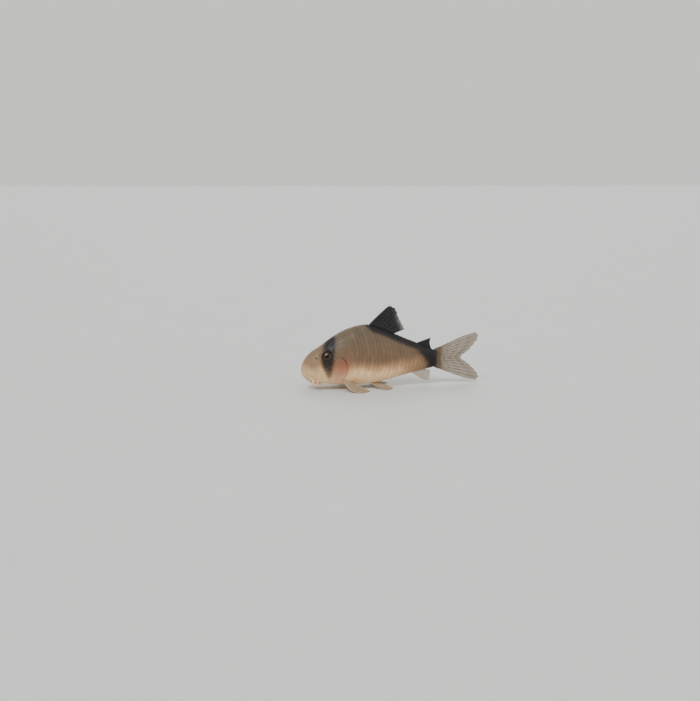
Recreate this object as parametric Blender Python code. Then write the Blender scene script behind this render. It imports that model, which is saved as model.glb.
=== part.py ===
"""A life-size corydoras catfish of the masked, black-backed kind, resting on its paired fins.

The fish faces -X, its back is up (+Z) and its left side is at -Y. The origin is on the floor under the
middle of the whole length, tail fin included. The body is one lofted form, parted into head, shoulder,
trunk and tail stalk by thin cuts. The fins are fans of rays, and the spines and barbels are tapered rods.
Places and sizes are shares of the standard length (snout tip to the end of the tail stalk) unless a name
says otherwise: "along" runs from the snout to the tail, and heights are above the floor.
"""

import math

import bmesh
import bpy
import numpy as np

MM = 0.001

# ---------------------------------------------------------------- driving dimensions
STANDARD_LENGTH = 42 * MM
PART_GAP = 0.3 * MM
FIN_THICKNESS = 0.5 * MM
RAY_THICKNESS = 0.66 * MM
GAP_SHARE = PART_GAP / STANDARD_LENGTH

# Body outlines as (along, value) stations, joined by smooth lines.
BACK_LINE = (
    (0.00, 0.245), (0.11, 0.290), (0.20, 0.350), (0.30, 0.410), (0.40, 0.449), (0.48, 0.458),
    (0.56, 0.438), (0.66, 0.396), (0.76, 0.352), (0.86, 0.310), (0.94, 0.272), (1.00, 0.256),
)
BELLY_LINE = (
    (0.00, 0.050), (0.10, 0.044), (0.20, 0.036), (0.35, 0.030), (0.50, 0.030), (0.60, 0.043),
    (0.70, 0.066), (0.80, 0.088), (0.88, 0.106), (0.94, 0.120), (1.00, 0.132),
)
HALF_WIDTH = (
    (0.00, 0.070), (0.10, 0.092), (0.20, 0.117), (0.30, 0.134), (0.38, 0.135), (0.50, 0.118),
    (0.62, 0.096), (0.74, 0.072), (0.86, 0.050), (0.94, 0.037), (1.00, 0.026),
)
WIDEST_HEIGHT = ((0.00, 0.115), (0.20, 0.140), (0.35, 0.145), (0.50, 0.150), (0.70, 0.175), (1.00, 0.194))
# Section powers: 2 is round, less is a ridge, more is flat.
BACK_POWER = ((0.00, 2.0), (0.20, 2.1), (0.35, 1.8), (0.45, 1.5), (0.60, 1.55), (0.80, 1.75), (1.00, 2.0))
BELLY_POWER = ((0.00, 2.2), (0.10, 2.6), (0.30, 3.2), (0.50, 3.2), (0.70, 2.4), (1.00, 2.0))
SNOUT_HEIGHT = 0.135
SNOUT_ROUNDING = 0.11
SNOUT_POWER = 2.1

# Where the body is parted: at the flank, at the back and at the belly.
HEAD_RIM = (0.318, 0.365, 0.270)
SHOULDER_RIM = (0.385, 0.430, 0.400)
STALK_RIM = (0.812, 0.795, 0.795)

# Eyes.
EYE_ALONG, EYE_HEIGHT = 0.182, 0.236
EYE_RADIUS = 0.049
EYE_CENTRE_OUT = 0.069

# Gill covers and lower lip are plates let into the head: (along, angle) centres and reaches.
GILL_COVER_CENTRE, GILL_COVER_REACH = (0.262, 2.0), (0.040, 31.0)
GILL_COVER_DEPTH = 0.9 * MM
LIP_CENTRE, LIP_REACH = (0.081, -90.0), (0.020, 33.0)
LIP_DEPTH, LIP_PROUD = 0.45 * MM, 0.3 * MM

# Median fins. Lengths and tilts run from the first ray (0) to the last (1), tilts in degrees.
DORSAL_START, DORSAL_END, DORSAL_RAYS = 0.508, 0.662, 7
DORSAL_LENGTHS = ((0, 0.195), (0.15, 0.190), (0.5, 0.140), (1, 0.085))
DORSAL_TILTS = ((0, 49), (0.5, 40), (1, 24))
DORSAL_BEND = -6
DORSAL_SPINE_RADII = (0.5 * MM, 0.27 * MM)
ADIPOSE_START, ADIPOSE_END, ADIPOSE_RAYS = 0.836, 0.925, 5
ADIPOSE_LENGTHS = ((0, 0.108), (0.25, 0.074), (1, 0.020))
ADIPOSE_TILTS = ((0, 21), (0.4, 10), (1, -4))
ANAL_START, ANAL_END, ANAL_RAYS = 0.802, 0.876, 7
ANAL_LENGTHS = ((0, 0.105), (0.2, 0.128), (1, 0.062))
ANAL_TILTS = ((0, -40), (0.5, -33), (1, -18))
CAUDAL_RAYS, CAUDAL_ROOT = 14, 1.0
CAUDAL_ROOT_HEIGHTS = (0.252, 0.136)
CAUDAL_LENGTHS = (
    (0, 0.316), (0.08, 0.330), (0.3, 0.255), (0.5, 0.178), (0.7, 0.256), (0.92, 0.335), (1, 0.320),
)
CAUDAL_TILTS = ((0, 35), (0.5, 0), (1, -33))
CAUDAL_BEND = -22
ROOT_SINK = 0.02

# Paired fins: (along, out, up) places of the leading edge, the hind root and the free edge.
PECTORAL_SPINE = (
    (0.288, 0.096, 0.086), (0.300, 0.150, 0.056), (0.330, 0.194, 0.024), (0.370, 0.217, 0.008),
    (0.426, 0.232, 0.0064),
)
PECTORAL_SPINE_RADII = (0.52 * MM, 0.36 * MM)
PECTORAL_HIND_ROOT = (0.340, 0.086, 0.062)
PECTORAL_EDGE = (
    (0.452, 0.204, 0.005), (0.476, 0.172, 0.005), (0.460, 0.142, 0.011), (0.424, 0.130, 0.025),
)
PECTORAL_RAYS = 8
PELVIC_LEAD = ((0.492, 0.066, 0.042), (0.540, 0.120, 0.016), (0.590, 0.160, 0.005))
PELVIC_HIND_ROOT = (0.520, 0.028, 0.034)
PELVIC_EDGE = ((0.604, 0.166, 0.005), (0.640, 0.140, 0.005), (0.656, 0.100, 0.006), (0.634, 0.060, 0.012))
PELVIC_RAYS = 6

BARBEL_RADII = (0.34 * MM, 0.26 * MM)
# Each barbel leaves the rim of the mouth at (along, angle) and sweeps by these (along, out, up) steps.
BARBELS = {
    "upper": ((0.070, -44.0), ((0.0, 0.0, 0.0), (0.010, 0.026, -0.016), (0.048, 0.042, -0.034))),
    "lower": ((0.094, -54.0), ((0.0, 0.0, 0.0), (0.024, 0.016, -0.012), (0.062, 0.026, -0.020))),
    "chin": ((0.114, -76.0), ((0.0, 0.0, 0.0), (0.020, 0.006, -0.014), (0.046, 0.010, -0.0175))),
}

# Points round each section of the body.
AROUND = 32


# ---------------------------------------------------------------- curves and the body's surface
def smooth_line(stations):
    """A function through the stations, with no overshoot between them."""
    x, y = np.array(stations, float).T
    step = np.diff(x)
    slope = np.diff(y) / step
    tangent = np.zeros(len(x))
    tangent[0], tangent[-1] = slope[0], slope[-1]
    for i in range(1, len(x) - 1):
        if slope[i - 1] * slope[i] > 0:
            a, b = 2 * step[i] + step[i - 1], step[i] + 2 * step[i - 1]
            tangent[i] = (a + b) / (a / slope[i - 1] + b / slope[i])

    def value(at):
        at = min(max(at, x[0]), x[-1])
        i = min(int(np.searchsorted(x, at, side="right")) - 1, len(x) - 2)
        t = (at - x[i]) / step[i]
        rise = y[i] * (2 * t**3 - 3 * t**2 + 1) + y[i + 1] * (3 * t**2 - 2 * t**3)
        return rise + step[i] * (tangent[i] * (t**3 - 2 * t**2 + t) + tangent[i + 1] * (t**3 - t**2))

    return value


back_line, belly_line = smooth_line(BACK_LINE), smooth_line(BELLY_LINE)
half_width, widest_height = smooth_line(HALF_WIDTH), smooth_line(WIDEST_HEIGHT)
back_power, belly_power = smooth_line(BACK_POWER), smooth_line(BELLY_POWER)


def snout_fullness(along):
    """How much of its full section the body has there: 0 at the tip of the snout, 1 behind its rounding."""
    if along >= SNOUT_ROUNDING:
        return 1.0
    return (1 - (1 - max(along, 0) / SNOUT_ROUNDING) ** SNOUT_POWER) ** (1 / SNOUT_POWER)


def body_point(along, angle):
    """A point of the body's surface. Angle 0 is the right flank, 90 degrees the back and 180 the left."""
    full = snout_fullness(along)
    cosine, sine = math.cos(math.radians(angle)), math.sin(math.radians(angle))
    power = back_power(along) if sine > 0 else belly_power(along)
    reach = back_line(along) if sine > 0 else belly_line(along)
    middle = widest_height(along)
    out = math.copysign(half_width(along) * full * abs(cosine) ** (2 / power), cosine)
    height = SNOUT_HEIGHT + (middle + (reach - middle) * abs(sine) - SNOUT_HEIGHT) * full
    return np.array((along, out, height)) * STANDARD_LENGTH


def body_normal(along, angle):
    step = 1e-3
    lengthwise = body_point(along + step, angle) - body_point(along - step, angle)
    around = body_point(along, angle + 1) - body_point(along, angle - 1)
    normal = np.cross(around, lengthwise)
    return normal / np.linalg.norm(normal)


def raised_point(along, angle, rise):
    """A point that far outside the body's surface, in metres."""
    return body_point(along, angle) + rise * body_normal(along, angle)


def rim(flank, back, belly, shift=0.0):
    """Where a cut crosses the body, as a function of the angle round it."""

    def along(angle):
        sine = math.sin(math.radians(angle))
        return flank + shift + ((back if sine > 0 else belly) - flank) * sine * sine

    return along


# ---------------------------------------------------------------- objects
def material(name, colour, roughness, metallic=0.0):
    made = bpy.data.materials.new(name)
    made.use_nodes = True
    shader = made.node_tree.nodes["Principled BSDF"]
    shader.inputs["Base Color"].default_value = (*colour, 1)
    shader.inputs["Roughness"].default_value = roughness
    shader.inputs["Metallic"].default_value = metallic
    return made


def solid(name, points, faces, finish):
    """A named, smooth-shaded object from points in metres, its faces turned outwards."""
    mesh = bpy.data.meshes.new(name)
    mesh.from_pydata([tuple(p) for p in points], [], faces)
    work = bmesh.new()
    work.from_mesh(mesh)
    bmesh.ops.recalc_face_normals(work, faces=work.faces)
    work.to_mesh(mesh)
    work.free()
    mesh.shade_smooth()
    mesh.set_sharp_from_angle(angle=math.radians(40))
    made = bpy.data.objects.new(name, mesh)
    bpy.context.scene.collection.objects.link(made)
    if finish:
        mesh.materials.append(finish)
    return made


def rings_to_faces(rings, around, start_cap, end_cap):
    """Quads between the rings. A cap is the number of the point that closes that end."""
    faces = []
    for i in range(rings - 1):
        for j in range(around):
            k = (j + 1) % around
            faces.append((i * around + j, i * around + k, (i + 1) * around + k, (i + 1) * around + j))
    last = (rings - 1) * around
    for j in range(around):
        k = (j + 1) % around
        faces.append((k, j, start_cap))
        faces.append((last + j, last + k, end_cap))
    return faces


def loft(name, start, end, rings, finish, tip=None, rise=0.0):
    """The body from one rim to another. A tip closes the start at a point, with closer rings near it."""
    points = []
    for i in range(rings):
        share = ((i + 1) / rings) ** 1.6 if tip is not None else i / (rings - 1)
        for j in range(AROUND):
            angle = 360 * j / AROUND
            along = start(angle) + (end(angle) - start(angle)) * share
            points.append(raised_point(along, angle, rise) if rise else body_point(along, angle))
    first, last = points[:AROUND], points[-AROUND:]
    points.append(np.array(tip) if tip is not None else np.mean(first, axis=0))
    points.append(np.mean(last, axis=0))
    count = rings * AROUND
    return solid(name, points, rings_to_faces(rings, AROUND, count, count + 1), finish)


def surface_plate(name, centre, reach, outer, inner, finish, grow=0.0, around=22, rings=3):
    """An oval plate that follows the body's surface, from inner to outer metres above it.

    Grow widens its outline."""
    reach_along = reach[0] + grow / STANDARD_LENGTH
    edge = raised_point(*centre, 0), raised_point(centre[0], centre[1] + reach[1], 0)
    half_height = np.linalg.norm(edge[1] - edge[0])
    reach_angle = reach[1] * (1 + grow / half_height)
    sheets = []
    for rise in (outer, inner):
        sheet = [raised_point(*centre, rise)]
        for i in range(1, rings + 1):
            for j in range(around):
                turn = 2 * math.pi * j / around
                along = centre[0] + reach_along * i / rings * math.cos(turn)
                angle = centre[1] + reach_angle * i / rings * math.sin(turn)
                sheet.append(raised_point(along, angle, rise))
        sheets.append(sheet)
    faces, offset = [], len(sheets[0])
    for j in range(around):
        k = (j + 1) % around
        for base in (0, offset):
            faces.append((base, base + 1 + j, base + 1 + k))
            for i in range(rings - 1):
                low, high = base + 1 + i * around, base + 1 + (i + 1) * around
                faces.append((low + j, high + j, high + k, low + k))
        border = 1 + (rings - 1) * around
        faces.append((border + j, border + k, offset + border + k, offset + border + j))
    return solid(name, sheets[0] + sheets[1], faces, finish)


def ball(name, centre, radius, finish, around=16, rings=10):
    points = []
    for i in range(1, rings):
        tilt = math.pi * i / rings
        for j in range(around):
            turn = 2 * math.pi * j / around
            direction = (math.sin(tilt) * math.cos(turn), math.sin(tilt) * math.sin(turn), math.cos(tilt))
            points.append(np.array(centre) + radius * np.array(direction))
    points.append(np.array(centre) + (0, 0, radius))
    points.append(np.array(centre) - (0, 0, radius))
    count = (rings - 1) * around
    return solid(name, points, rings_to_faces(rings - 1, around, count, count + 1), finish)


def bent_line(stations):
    """A smooth line in space through a few points, as a function of the share of its length."""
    stations = np.array(stations, float)
    steps = np.linalg.norm(np.diff(stations, axis=0), axis=1)
    shares = np.concatenate(([0.0], np.cumsum(steps))) / steps.sum()
    axes = [smooth_line(list(zip(shares, axis))) for axis in stations.T]
    return lambda share: np.array([axis(share) for axis in axes])


def bent_path(stations, count):
    """Evenly spaced points on such a line through (along, out, up) stations, in metres."""
    line = bent_line(stations)
    return [line(share) * STANDARD_LENGTH for share in np.linspace(0, 1, count)]


def rod(name, path, base_radius, tip_radius, finish, around=10):
    """A tapered round rod along a path, in metres."""
    points, side = [], None
    for i, centre in enumerate(path):
        ahead = path[min(i + 1, len(path) - 1)] - path[max(i - 1, 0)]
        ahead = ahead / np.linalg.norm(ahead)
        side = np.cross(ahead, (0.0, 0.3, 1.0)) if side is None else side - ahead * (side @ ahead)
        side = side / np.linalg.norm(side)
        up = np.cross(ahead, side)
        radius = base_radius + (tip_radius - base_radius) * i / (len(path) - 1)
        for j in range(around):
            turn = 2 * math.pi * j / around
            points.append(centre + radius * (math.cos(turn) * side + math.sin(turn) * up))
    points += [path[0], path[-1]]
    count = len(path) * around
    return solid(name, points, rings_to_faces(len(path), around, count, count + 1), finish)


def fan(name, rays, finish, rows=5, scallop=0.035):
    """A fin: thick rays joined by a thinner web, whose free edge dips between them.

    Each ray is a function of the share of its length that gives a point."""
    columns = []
    for i, ray in enumerate(rays):
        columns.append((ray, RAY_THICKNESS))
        if i < len(rays) - 1:
            columns.append((web_line(ray, rays[i + 1], scallop), FIN_THICKNESS))
    shares = np.linspace(0, 1, rows)
    centres = np.array([[line(share) for share in shares] for line, _ in columns])
    normals = np.cross(np.gradient(centres, axis=0), np.gradient(centres, axis=1))
    normals /= np.linalg.norm(normals, axis=2, keepdims=True)
    root_thickness = np.array([thickness for _, thickness in columns])[:, None]
    halves = (root_thickness + (FIN_THICKNESS - root_thickness) * shares) / 2
    upper = (centres + normals * halves[:, :, None]).reshape(-1, 3)
    lower = (centres - normals * halves[:, :, None]).reshape(-1, 3)

    count, last, faces, border = len(upper), (len(columns) - 1) * rows, [], []
    for i in range(len(columns) - 1):
        for row in range(rows - 1):
            a, b = i * rows + row, (i + 1) * rows + row
            faces.append((a, b, b + 1, a + 1))
            faces.append((count + a, count + a + 1, count + b + 1, count + b))
        border += [(i * rows, (i + 1) * rows), (i * rows + rows - 1, (i + 1) * rows + rows - 1)]
    for row in range(rows - 1):
        border += [(row, row + 1), (last + row, last + row + 1)]
    faces += [(a, b, count + b, count + a) for a, b in border]
    return solid(name, [*upper, *lower], faces, finish)


def web_line(ray, following, scallop):
    def line(share):
        shown = share * (1 - scallop)
        return (np.array(ray(shown)) + np.array(following(shown))) / 2

    return line


def cut(target, cutter):
    """Takes the cutter's shape out of the target, and keeps the cutter out of the model."""
    cutter.hide_render = True
    cutter.display_type = "WIRE"
    hollow = target.modifiers.new(f"less_{cutter.name}", "BOOLEAN")
    hollow.operation = "DIFFERENCE"
    hollow.solver = "EXACT"
    hollow.object = cutter


# ---------------------------------------------------------------- fins
def lerp(a, b, share):
    return a + (b - a) * share


def median_ray(base, length, tilt, bend):
    """A ray in the fish's middle plane. Tilt and bend are degrees above the line of the body."""

    def point(share):
        turn = math.radians(tilt + bend * share / 2)
        x, z = base[0] + length * share * math.cos(turn), base[1] + length * share * math.sin(turn)
        return np.array((x, 0.0, z)) * STANDARD_LENGTH

    return point


def median_fan(name, finish, count, start, end, root_line, sink, lengths, tilts, bend, scallop=0.035):
    """A fin of the middle plane, whose rays leave the body's outline between two places along it."""
    length_at, tilt_at = smooth_line(lengths), smooth_line(tilts)
    rays = []
    for i in range(count):
        share = i / (count - 1)
        along = lerp(start, end, share)
        base = (along, root_line(along) + sink)
        rays.append(median_ray(base, length_at(share) + abs(sink), tilt_at(share), bend))
    return fan(name, rays, finish, scallop=scallop), rays[0]


def leading_path(ray, radii, count):
    """The middle of a tapered spine that lies just ahead of a fin's first ray, a part gap away from it."""
    path = []
    for share in np.linspace(0, 1, count):
        ahead = ray(share + 0.01) - ray(share - 0.01)
        ahead = ahead / np.linalg.norm(ahead)
        clear = lerp(*radii, share) + PART_GAP
        path.append(ray(share) + clear * np.array((-ahead[2], 0.0, ahead[0])))
    return path


def caudal_fin(finish):
    """The forked tail fin. Its rays spread as they leave the stalk, then run nearly level."""
    length_at, tilt_at = smooth_line(CAUDAL_LENGTHS), smooth_line(CAUDAL_TILTS)
    rays = []
    for i in range(CAUDAL_RAYS):
        share = i / (CAUDAL_RAYS - 1)
        base = (CAUDAL_ROOT + GAP_SHARE, lerp(*CAUDAL_ROOT_HEIGHTS, share))
        flare = CAUDAL_BEND * (1 - 2 * share)
        rays.append(median_ray(base, length_at(share), tilt_at(share), flare))
    return fan("caudal_fin", rays, finish, scallop=0.03)


def paired_fan(name, finish, count, lead, hind_root, edge):
    """A paired fin, its rays passing from a curved leading one to a straight hind one."""
    hind_root, leading = np.array(hind_root) * STANDARD_LENGTH, bent_line(lead)
    edge_path = bent_path(edge, count)

    def ray(number):
        turn = number / (count - 1)

        def point(share):
            hind = lerp(hind_root, edge_path[-1], share)
            tip = lerp(leading(1), edge_path[-1], turn)
            return lerp(leading(share), hind, turn) + (edge_path[number] - tip) * share

        return point

    return fan(name, [ray(number) for number in range(count)], finish)


def behind_spine(path, radii, toward):
    """A line just behind a tapered spine, a part gap away from it, on the side that faces a point."""
    line = []
    for i, centre in enumerate(path):
        ahead = path[min(i + 1, len(path) - 1)] - path[max(i - 1, 0)]
        ahead = ahead / np.linalg.norm(ahead)
        side = toward - centre
        side = side - ahead * (side @ ahead)
        clear = lerp(*radii, i / (len(path) - 1)) + PART_GAP
        line.append(centre + side / np.linalg.norm(side) * clear)
    return line


def mirrored(stations, side):
    return [(x, side * y, z) for x, y, z in stations]


# ---------------------------------------------------------------- barbels
def barbel(kind, side, finish):
    (along, angle), sweep = BARBELS[kind]
    angle = angle if side > 0 else 180 - angle
    root = raised_point(along, angle, PART_GAP + 0.02 * MM)
    outward = body_normal(along, angle)
    path = [root + p * (1, side, 1) for p in bent_path(sweep, 8)]
    lead = [root + outward * PART_GAP * share for share in (0.0, 0.6)]
    shifted = [p + outward * PART_GAP for p in path[1:]]
    side_name = "right" if side > 0 else "left"
    return rod(f"barbel_{kind}_{side_name}", lead + shifted, *BARBEL_RADII, finish, 8)


# ---------------------------------------------------------------- the fish
def flat_floor():
    """Takes off whatever would reach below the floor, which leaves small flats to rest on."""
    size = STANDARD_LENGTH * 2
    points = [(x, y, z) for z in (-size / 4, 0.0) for y in (-size, size) for x in (-size, size)]
    faces = [(0, 1, 3, 2), (4, 5, 7, 6), (0, 1, 5, 4), (2, 3, 7, 6), (0, 2, 6, 4), (1, 3, 7, 5)]
    return solid("floor_cutter", points, faces, None)


def eye_centre(side):
    return np.array((EYE_ALONG, side * EYE_CENTRE_OUT, EYE_HEIGHT)) * STANDARD_LENGTH


def build_body(skin, lip_skin, eye_finish):
    snout = np.array((0, 0, SNOUT_HEIGHT)) * STANDARD_LENGTH
    head = loft("head", rim(0, 0, 0), rim(*HEAD_RIM), 17, skin, tip=snout)
    loft("shoulder", rim(*HEAD_RIM, GAP_SHARE), rim(*SHOULDER_RIM), 5, skin)
    loft("trunk", rim(*SHOULDER_RIM, GAP_SHARE), rim(*STALK_RIM), 15, skin)
    loft("tail_stalk", rim(*STALK_RIM, GAP_SHARE), rim(CAUDAL_ROOT, CAUDAL_ROOT, CAUDAL_ROOT), 8, skin)
    for side, name in ((-1, "left"), (1, "right")):
        along, angle = GILL_COVER_CENTRE
        centre = (along, angle if side > 0 else 180 - angle)
        surface_plate(f"gill_cover_{name}", centre, GILL_COVER_REACH, 0.0, -GILL_COVER_DEPTH, skin)
        floor = -GILL_COVER_DEPTH - PART_GAP
        cut(head, surface_plate(f"gill_pocket_{name}", centre, GILL_COVER_REACH, MM, floor, None, PART_GAP))
        radius = EYE_RADIUS * STANDARD_LENGTH
        ball(f"eye_{name}", eye_centre(side), radius, eye_finish)
        cut(head, ball(f"socket_{name}", eye_centre(side), radius + PART_GAP, None))
    surface_plate("lower_lip", LIP_CENTRE, LIP_REACH, LIP_PROUD, -LIP_DEPTH, lip_skin, around=18)
    floor = -LIP_DEPTH - PART_GAP
    cut(head, surface_plate("mouth_cutter", LIP_CENTRE, LIP_REACH, MM, floor, None, PART_GAP, around=18))


def build_median_fins(clear_body, fin_finish, dark_fin_finish):
    """The fins of the middle plane, their roots cut back to clear the body."""
    dorsal, first_ray = median_fan(
        "dorsal_fin", dark_fin_finish, DORSAL_RAYS, DORSAL_START, DORSAL_END, back_line, -ROOT_SINK,
        DORSAL_LENGTHS, DORSAL_TILTS, DORSAL_BEND,
    )
    spine_path = leading_path(first_ray, DORSAL_SPINE_RADII, 8)
    spine = rod("dorsal_spine", spine_path, *DORSAL_SPINE_RADII, dark_fin_finish)
    adipose, _ = median_fan(
        "adipose_fin", dark_fin_finish, ADIPOSE_RAYS, ADIPOSE_START, ADIPOSE_END, back_line, -ROOT_SINK,
        ADIPOSE_LENGTHS, ADIPOSE_TILTS, 0,
    )
    anal, _ = median_fan(
        "anal_fin", fin_finish, ANAL_RAYS, ANAL_START, ANAL_END, belly_line, ROOT_SINK,
        ANAL_LENGTHS, ANAL_TILTS, 8,
    )
    for fin in (dorsal, spine, adipose, anal):
        cut(fin, clear_body)


def build_paired_fins(clear_body, floor, spine_finish, fin_finish):
    for side, name in ((-1, "left"), (1, "right")):
        path = bent_path(mirrored(PECTORAL_SPINE, side), 12)
        spine = rod(f"pectoral_spine_{name}", path, *PECTORAL_SPINE_RADII, spine_finish)
        hind_root, edge = mirrored([PECTORAL_HIND_ROOT], side)[0], mirrored(PECTORAL_EDGE, side)
        lead = behind_spine(path, PECTORAL_SPINE_RADII, np.array(edge[-1]) * STANDARD_LENGTH)
        pectoral = paired_fan(f"pectoral_fin_{name}", fin_finish, PECTORAL_RAYS, lead, hind_root, edge)
        hind_root, edge = mirrored([PELVIC_HIND_ROOT], side)[0], mirrored(PELVIC_EDGE, side)
        lead = bent_path(mirrored(PELVIC_LEAD, side), 8)
        pelvic = paired_fan(f"pelvic_fin_{name}", fin_finish, PELVIC_RAYS, lead, hind_root, edge)
        for fin in (spine, pectoral, pelvic):
            cut(fin, clear_body)
            cut(fin, floor)


def main():
    for old in list(bpy.data.objects):
        bpy.data.objects.remove(old)
    skin = material("skin", (0.36, 0.25, 0.18), 0.45)
    lip_skin = material("lip_skin", (0.62, 0.40, 0.32), 0.5)
    eye_finish = material("eye", (0.02, 0.018, 0.015), 0.1)
    spine_finish = material("spine", (0.42, 0.33, 0.25), 0.4)
    fin_finish = material("fin_web", (0.45, 0.38, 0.31), 0.4)
    dark_fin_finish = material("dark_fin", (0.03, 0.028, 0.026), 0.45)

    build_body(skin, lip_skin, eye_finish)
    whole = rim(CAUDAL_ROOT, CAUDAL_ROOT, CAUDAL_ROOT)
    clear_body = loft("clear_body", rim(0.02, 0.02, 0.02), whole, 50, None, rise=PART_GAP)
    floor = flat_floor()
    caudal = caudal_fin(fin_finish)
    build_median_fins(clear_body, fin_finish, dark_fin_finish)
    build_paired_fins(clear_body, floor, spine_finish, fin_finish)
    for side in (-1, 1):
        for kind in BARBELS:
            barbel(kind, side, lip_skin)

    fish = bpy.data.objects.new("corydoras", None)
    bpy.context.scene.collection.objects.link(fish)
    tail_tip = max(vertex.co.x for vertex in caudal.data.vertices)
    for piece in list(bpy.context.scene.collection.objects):
        if piece is not fish:
            piece.parent = fish
    fish.location.x = -tail_tip / 2


main()
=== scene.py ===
"""The looks of a life-size masked corydoras catfish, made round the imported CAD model.

The fish faces -X with its back up, and its left side at -Y. "along" is a share of the standard length
from the snout tip to the end of the tail stalk, and other shares are of the same length. A place on the
body is (along, angle): angle 0 is the right flank, 90 degrees the back, -90 the belly. "round" is the
share of the way round one side from the belly's middle (0) to the back's middle (1), by length.
"""

import math

import bmesh
import bpy
import numpy as np
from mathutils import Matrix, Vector


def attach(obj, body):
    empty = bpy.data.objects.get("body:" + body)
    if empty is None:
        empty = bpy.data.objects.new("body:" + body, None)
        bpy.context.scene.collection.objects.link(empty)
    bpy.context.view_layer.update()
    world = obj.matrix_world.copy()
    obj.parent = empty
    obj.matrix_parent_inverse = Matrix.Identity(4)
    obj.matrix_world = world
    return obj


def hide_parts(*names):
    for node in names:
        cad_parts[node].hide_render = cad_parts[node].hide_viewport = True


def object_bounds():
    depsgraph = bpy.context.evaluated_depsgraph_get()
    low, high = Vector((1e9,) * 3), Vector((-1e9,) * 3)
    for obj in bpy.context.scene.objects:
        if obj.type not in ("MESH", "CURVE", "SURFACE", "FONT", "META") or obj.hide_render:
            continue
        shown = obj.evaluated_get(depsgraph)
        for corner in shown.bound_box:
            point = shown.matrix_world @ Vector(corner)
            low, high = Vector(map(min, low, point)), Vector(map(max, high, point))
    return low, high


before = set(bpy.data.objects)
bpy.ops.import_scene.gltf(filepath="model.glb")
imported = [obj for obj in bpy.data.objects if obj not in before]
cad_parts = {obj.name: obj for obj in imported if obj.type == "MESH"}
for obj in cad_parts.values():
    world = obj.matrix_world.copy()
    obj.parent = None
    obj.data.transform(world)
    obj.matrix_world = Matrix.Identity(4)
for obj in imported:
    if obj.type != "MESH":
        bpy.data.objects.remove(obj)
cad_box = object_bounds()

# ---------------- driving dimensions
MM = 0.001
STANDARD_LENGTH = 42 * MM
LENGTH_MM = STANDARD_LENGTH / MM
SNOUT_X = cad_box[0].x
SIDES = ((-1, "left"), (1, "right"))

# The body's outlines, as in the CAD model.
BACK_LINE = (
    (0.00, 0.245), (0.11, 0.290), (0.20, 0.350), (0.30, 0.410), (0.40, 0.449), (0.48, 0.458),
    (0.56, 0.438), (0.66, 0.396), (0.76, 0.352), (0.86, 0.310), (0.94, 0.272), (1.00, 0.256),
)
BELLY_LINE = (
    (0.00, 0.050), (0.10, 0.044), (0.20, 0.036), (0.35, 0.030), (0.50, 0.030), (0.60, 0.043),
    (0.70, 0.066), (0.80, 0.088), (0.88, 0.106), (0.94, 0.120), (1.00, 0.132),
)
HALF_WIDTH = (
    (0.00, 0.070), (0.10, 0.092), (0.20, 0.117), (0.30, 0.134), (0.38, 0.135), (0.50, 0.118),
    (0.62, 0.096), (0.74, 0.072), (0.86, 0.050), (0.94, 0.037), (1.00, 0.026),
)
WIDEST_HEIGHT = ((0.00, 0.115), (0.20, 0.140), (0.35, 0.145), (0.50, 0.150), (0.70, 0.175), (1.00, 0.194))
BACK_POWER = ((0.00, 2.0), (0.20, 2.1), (0.35, 1.8), (0.45, 1.5), (0.60, 1.55), (0.80, 1.75), (1.00, 2.0))
BELLY_POWER = ((0.00, 2.2), (0.10, 2.6), (0.30, 3.2), (0.50, 3.2), (0.70, 2.4), (1.00, 2.0))
SNOUT_HEIGHT, SNOUT_ROUNDING, SNOUT_POWER = 0.135, 0.11, 2.1


# ---------------- curves
def smooth_line(stations):
    """A function through the stations, with no overshoot between them."""
    x, y = np.array(stations, float).T
    step = np.diff(x)
    slope = np.diff(y) / step
    tangent = np.concatenate((slope[:1], np.zeros(len(x) - 2), slope[-1:]))
    for i in range(1, len(x) - 1):
        if slope[i - 1] * slope[i] > 0:
            a, b = 2 * step[i] + step[i - 1], step[i] + 2 * step[i - 1]
            tangent[i] = (a + b) / (a / slope[i - 1] + b / slope[i])

    def value(at):
        at = np.clip(at, x[0], x[-1])
        i = np.clip(np.searchsorted(x, at, side="right") - 1, 0, len(x) - 2)
        t = (at - x[i]) / step[i]
        rise = y[i] * (2 * t**3 - 3 * t**2 + 1) + y[i + 1] * (3 * t**2 - 2 * t**3)
        return rise + step[i] * (tangent[i] * (t**3 - 2 * t**2 + t) + tangent[i + 1] * (t**3 - t**2))

    return value


def soft_line(stations, softness=0.014):
    """A smooth line with the last trace of its stations blended away."""
    places = np.linspace(-0.1, 1.1, 1201)
    values = smooth_line(stations)(places)
    width = softness / (places[1] - places[0])
    reach = int(4 * width)
    weights = np.exp(-0.5 * (np.arange(-reach, reach + 1) / width) ** 2)
    padded = np.pad(values, reach, mode="edge")
    values = np.convolve(padded, weights / weights.sum(), mode="valid")
    return lambda at: np.interp(at, places, values)


def blend(low, high, value):
    """A soft step from 0 at low to 1 at high, which may also be the smaller of the two."""
    t = np.clip((value - low) / (high - low), 0, 1)
    return t * t * (3 - 2 * t)


def hump(value, width):
    return np.exp(-((value / width) ** 2))


def lerp(a, b, share):
    return a + (b - a) * share


def round_end(share, power, least):
    """A radius of 1 that shrinks to least, as a round end does, where the share reaches 1."""
    return np.sqrt(np.clip(1 - share**power, least, 1))


def matched(*values):
    """The values as arrays of one shape."""
    return np.broadcast_arrays(*[np.asarray(value, float) for value in values])


def turns(count):
    """Angles in radians, evenly round a circle."""
    return 2 * np.pi * np.arange(count) / count


def circle(turn, across, up):
    """Unit steps from a circle's middle, at each turn from across towards up."""
    return np.outer(np.cos(turn), across) + np.outer(np.sin(turn), up)


def unit(vectors):
    return vectors / np.linalg.norm(vectors, axis=-1, keepdims=True)


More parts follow.
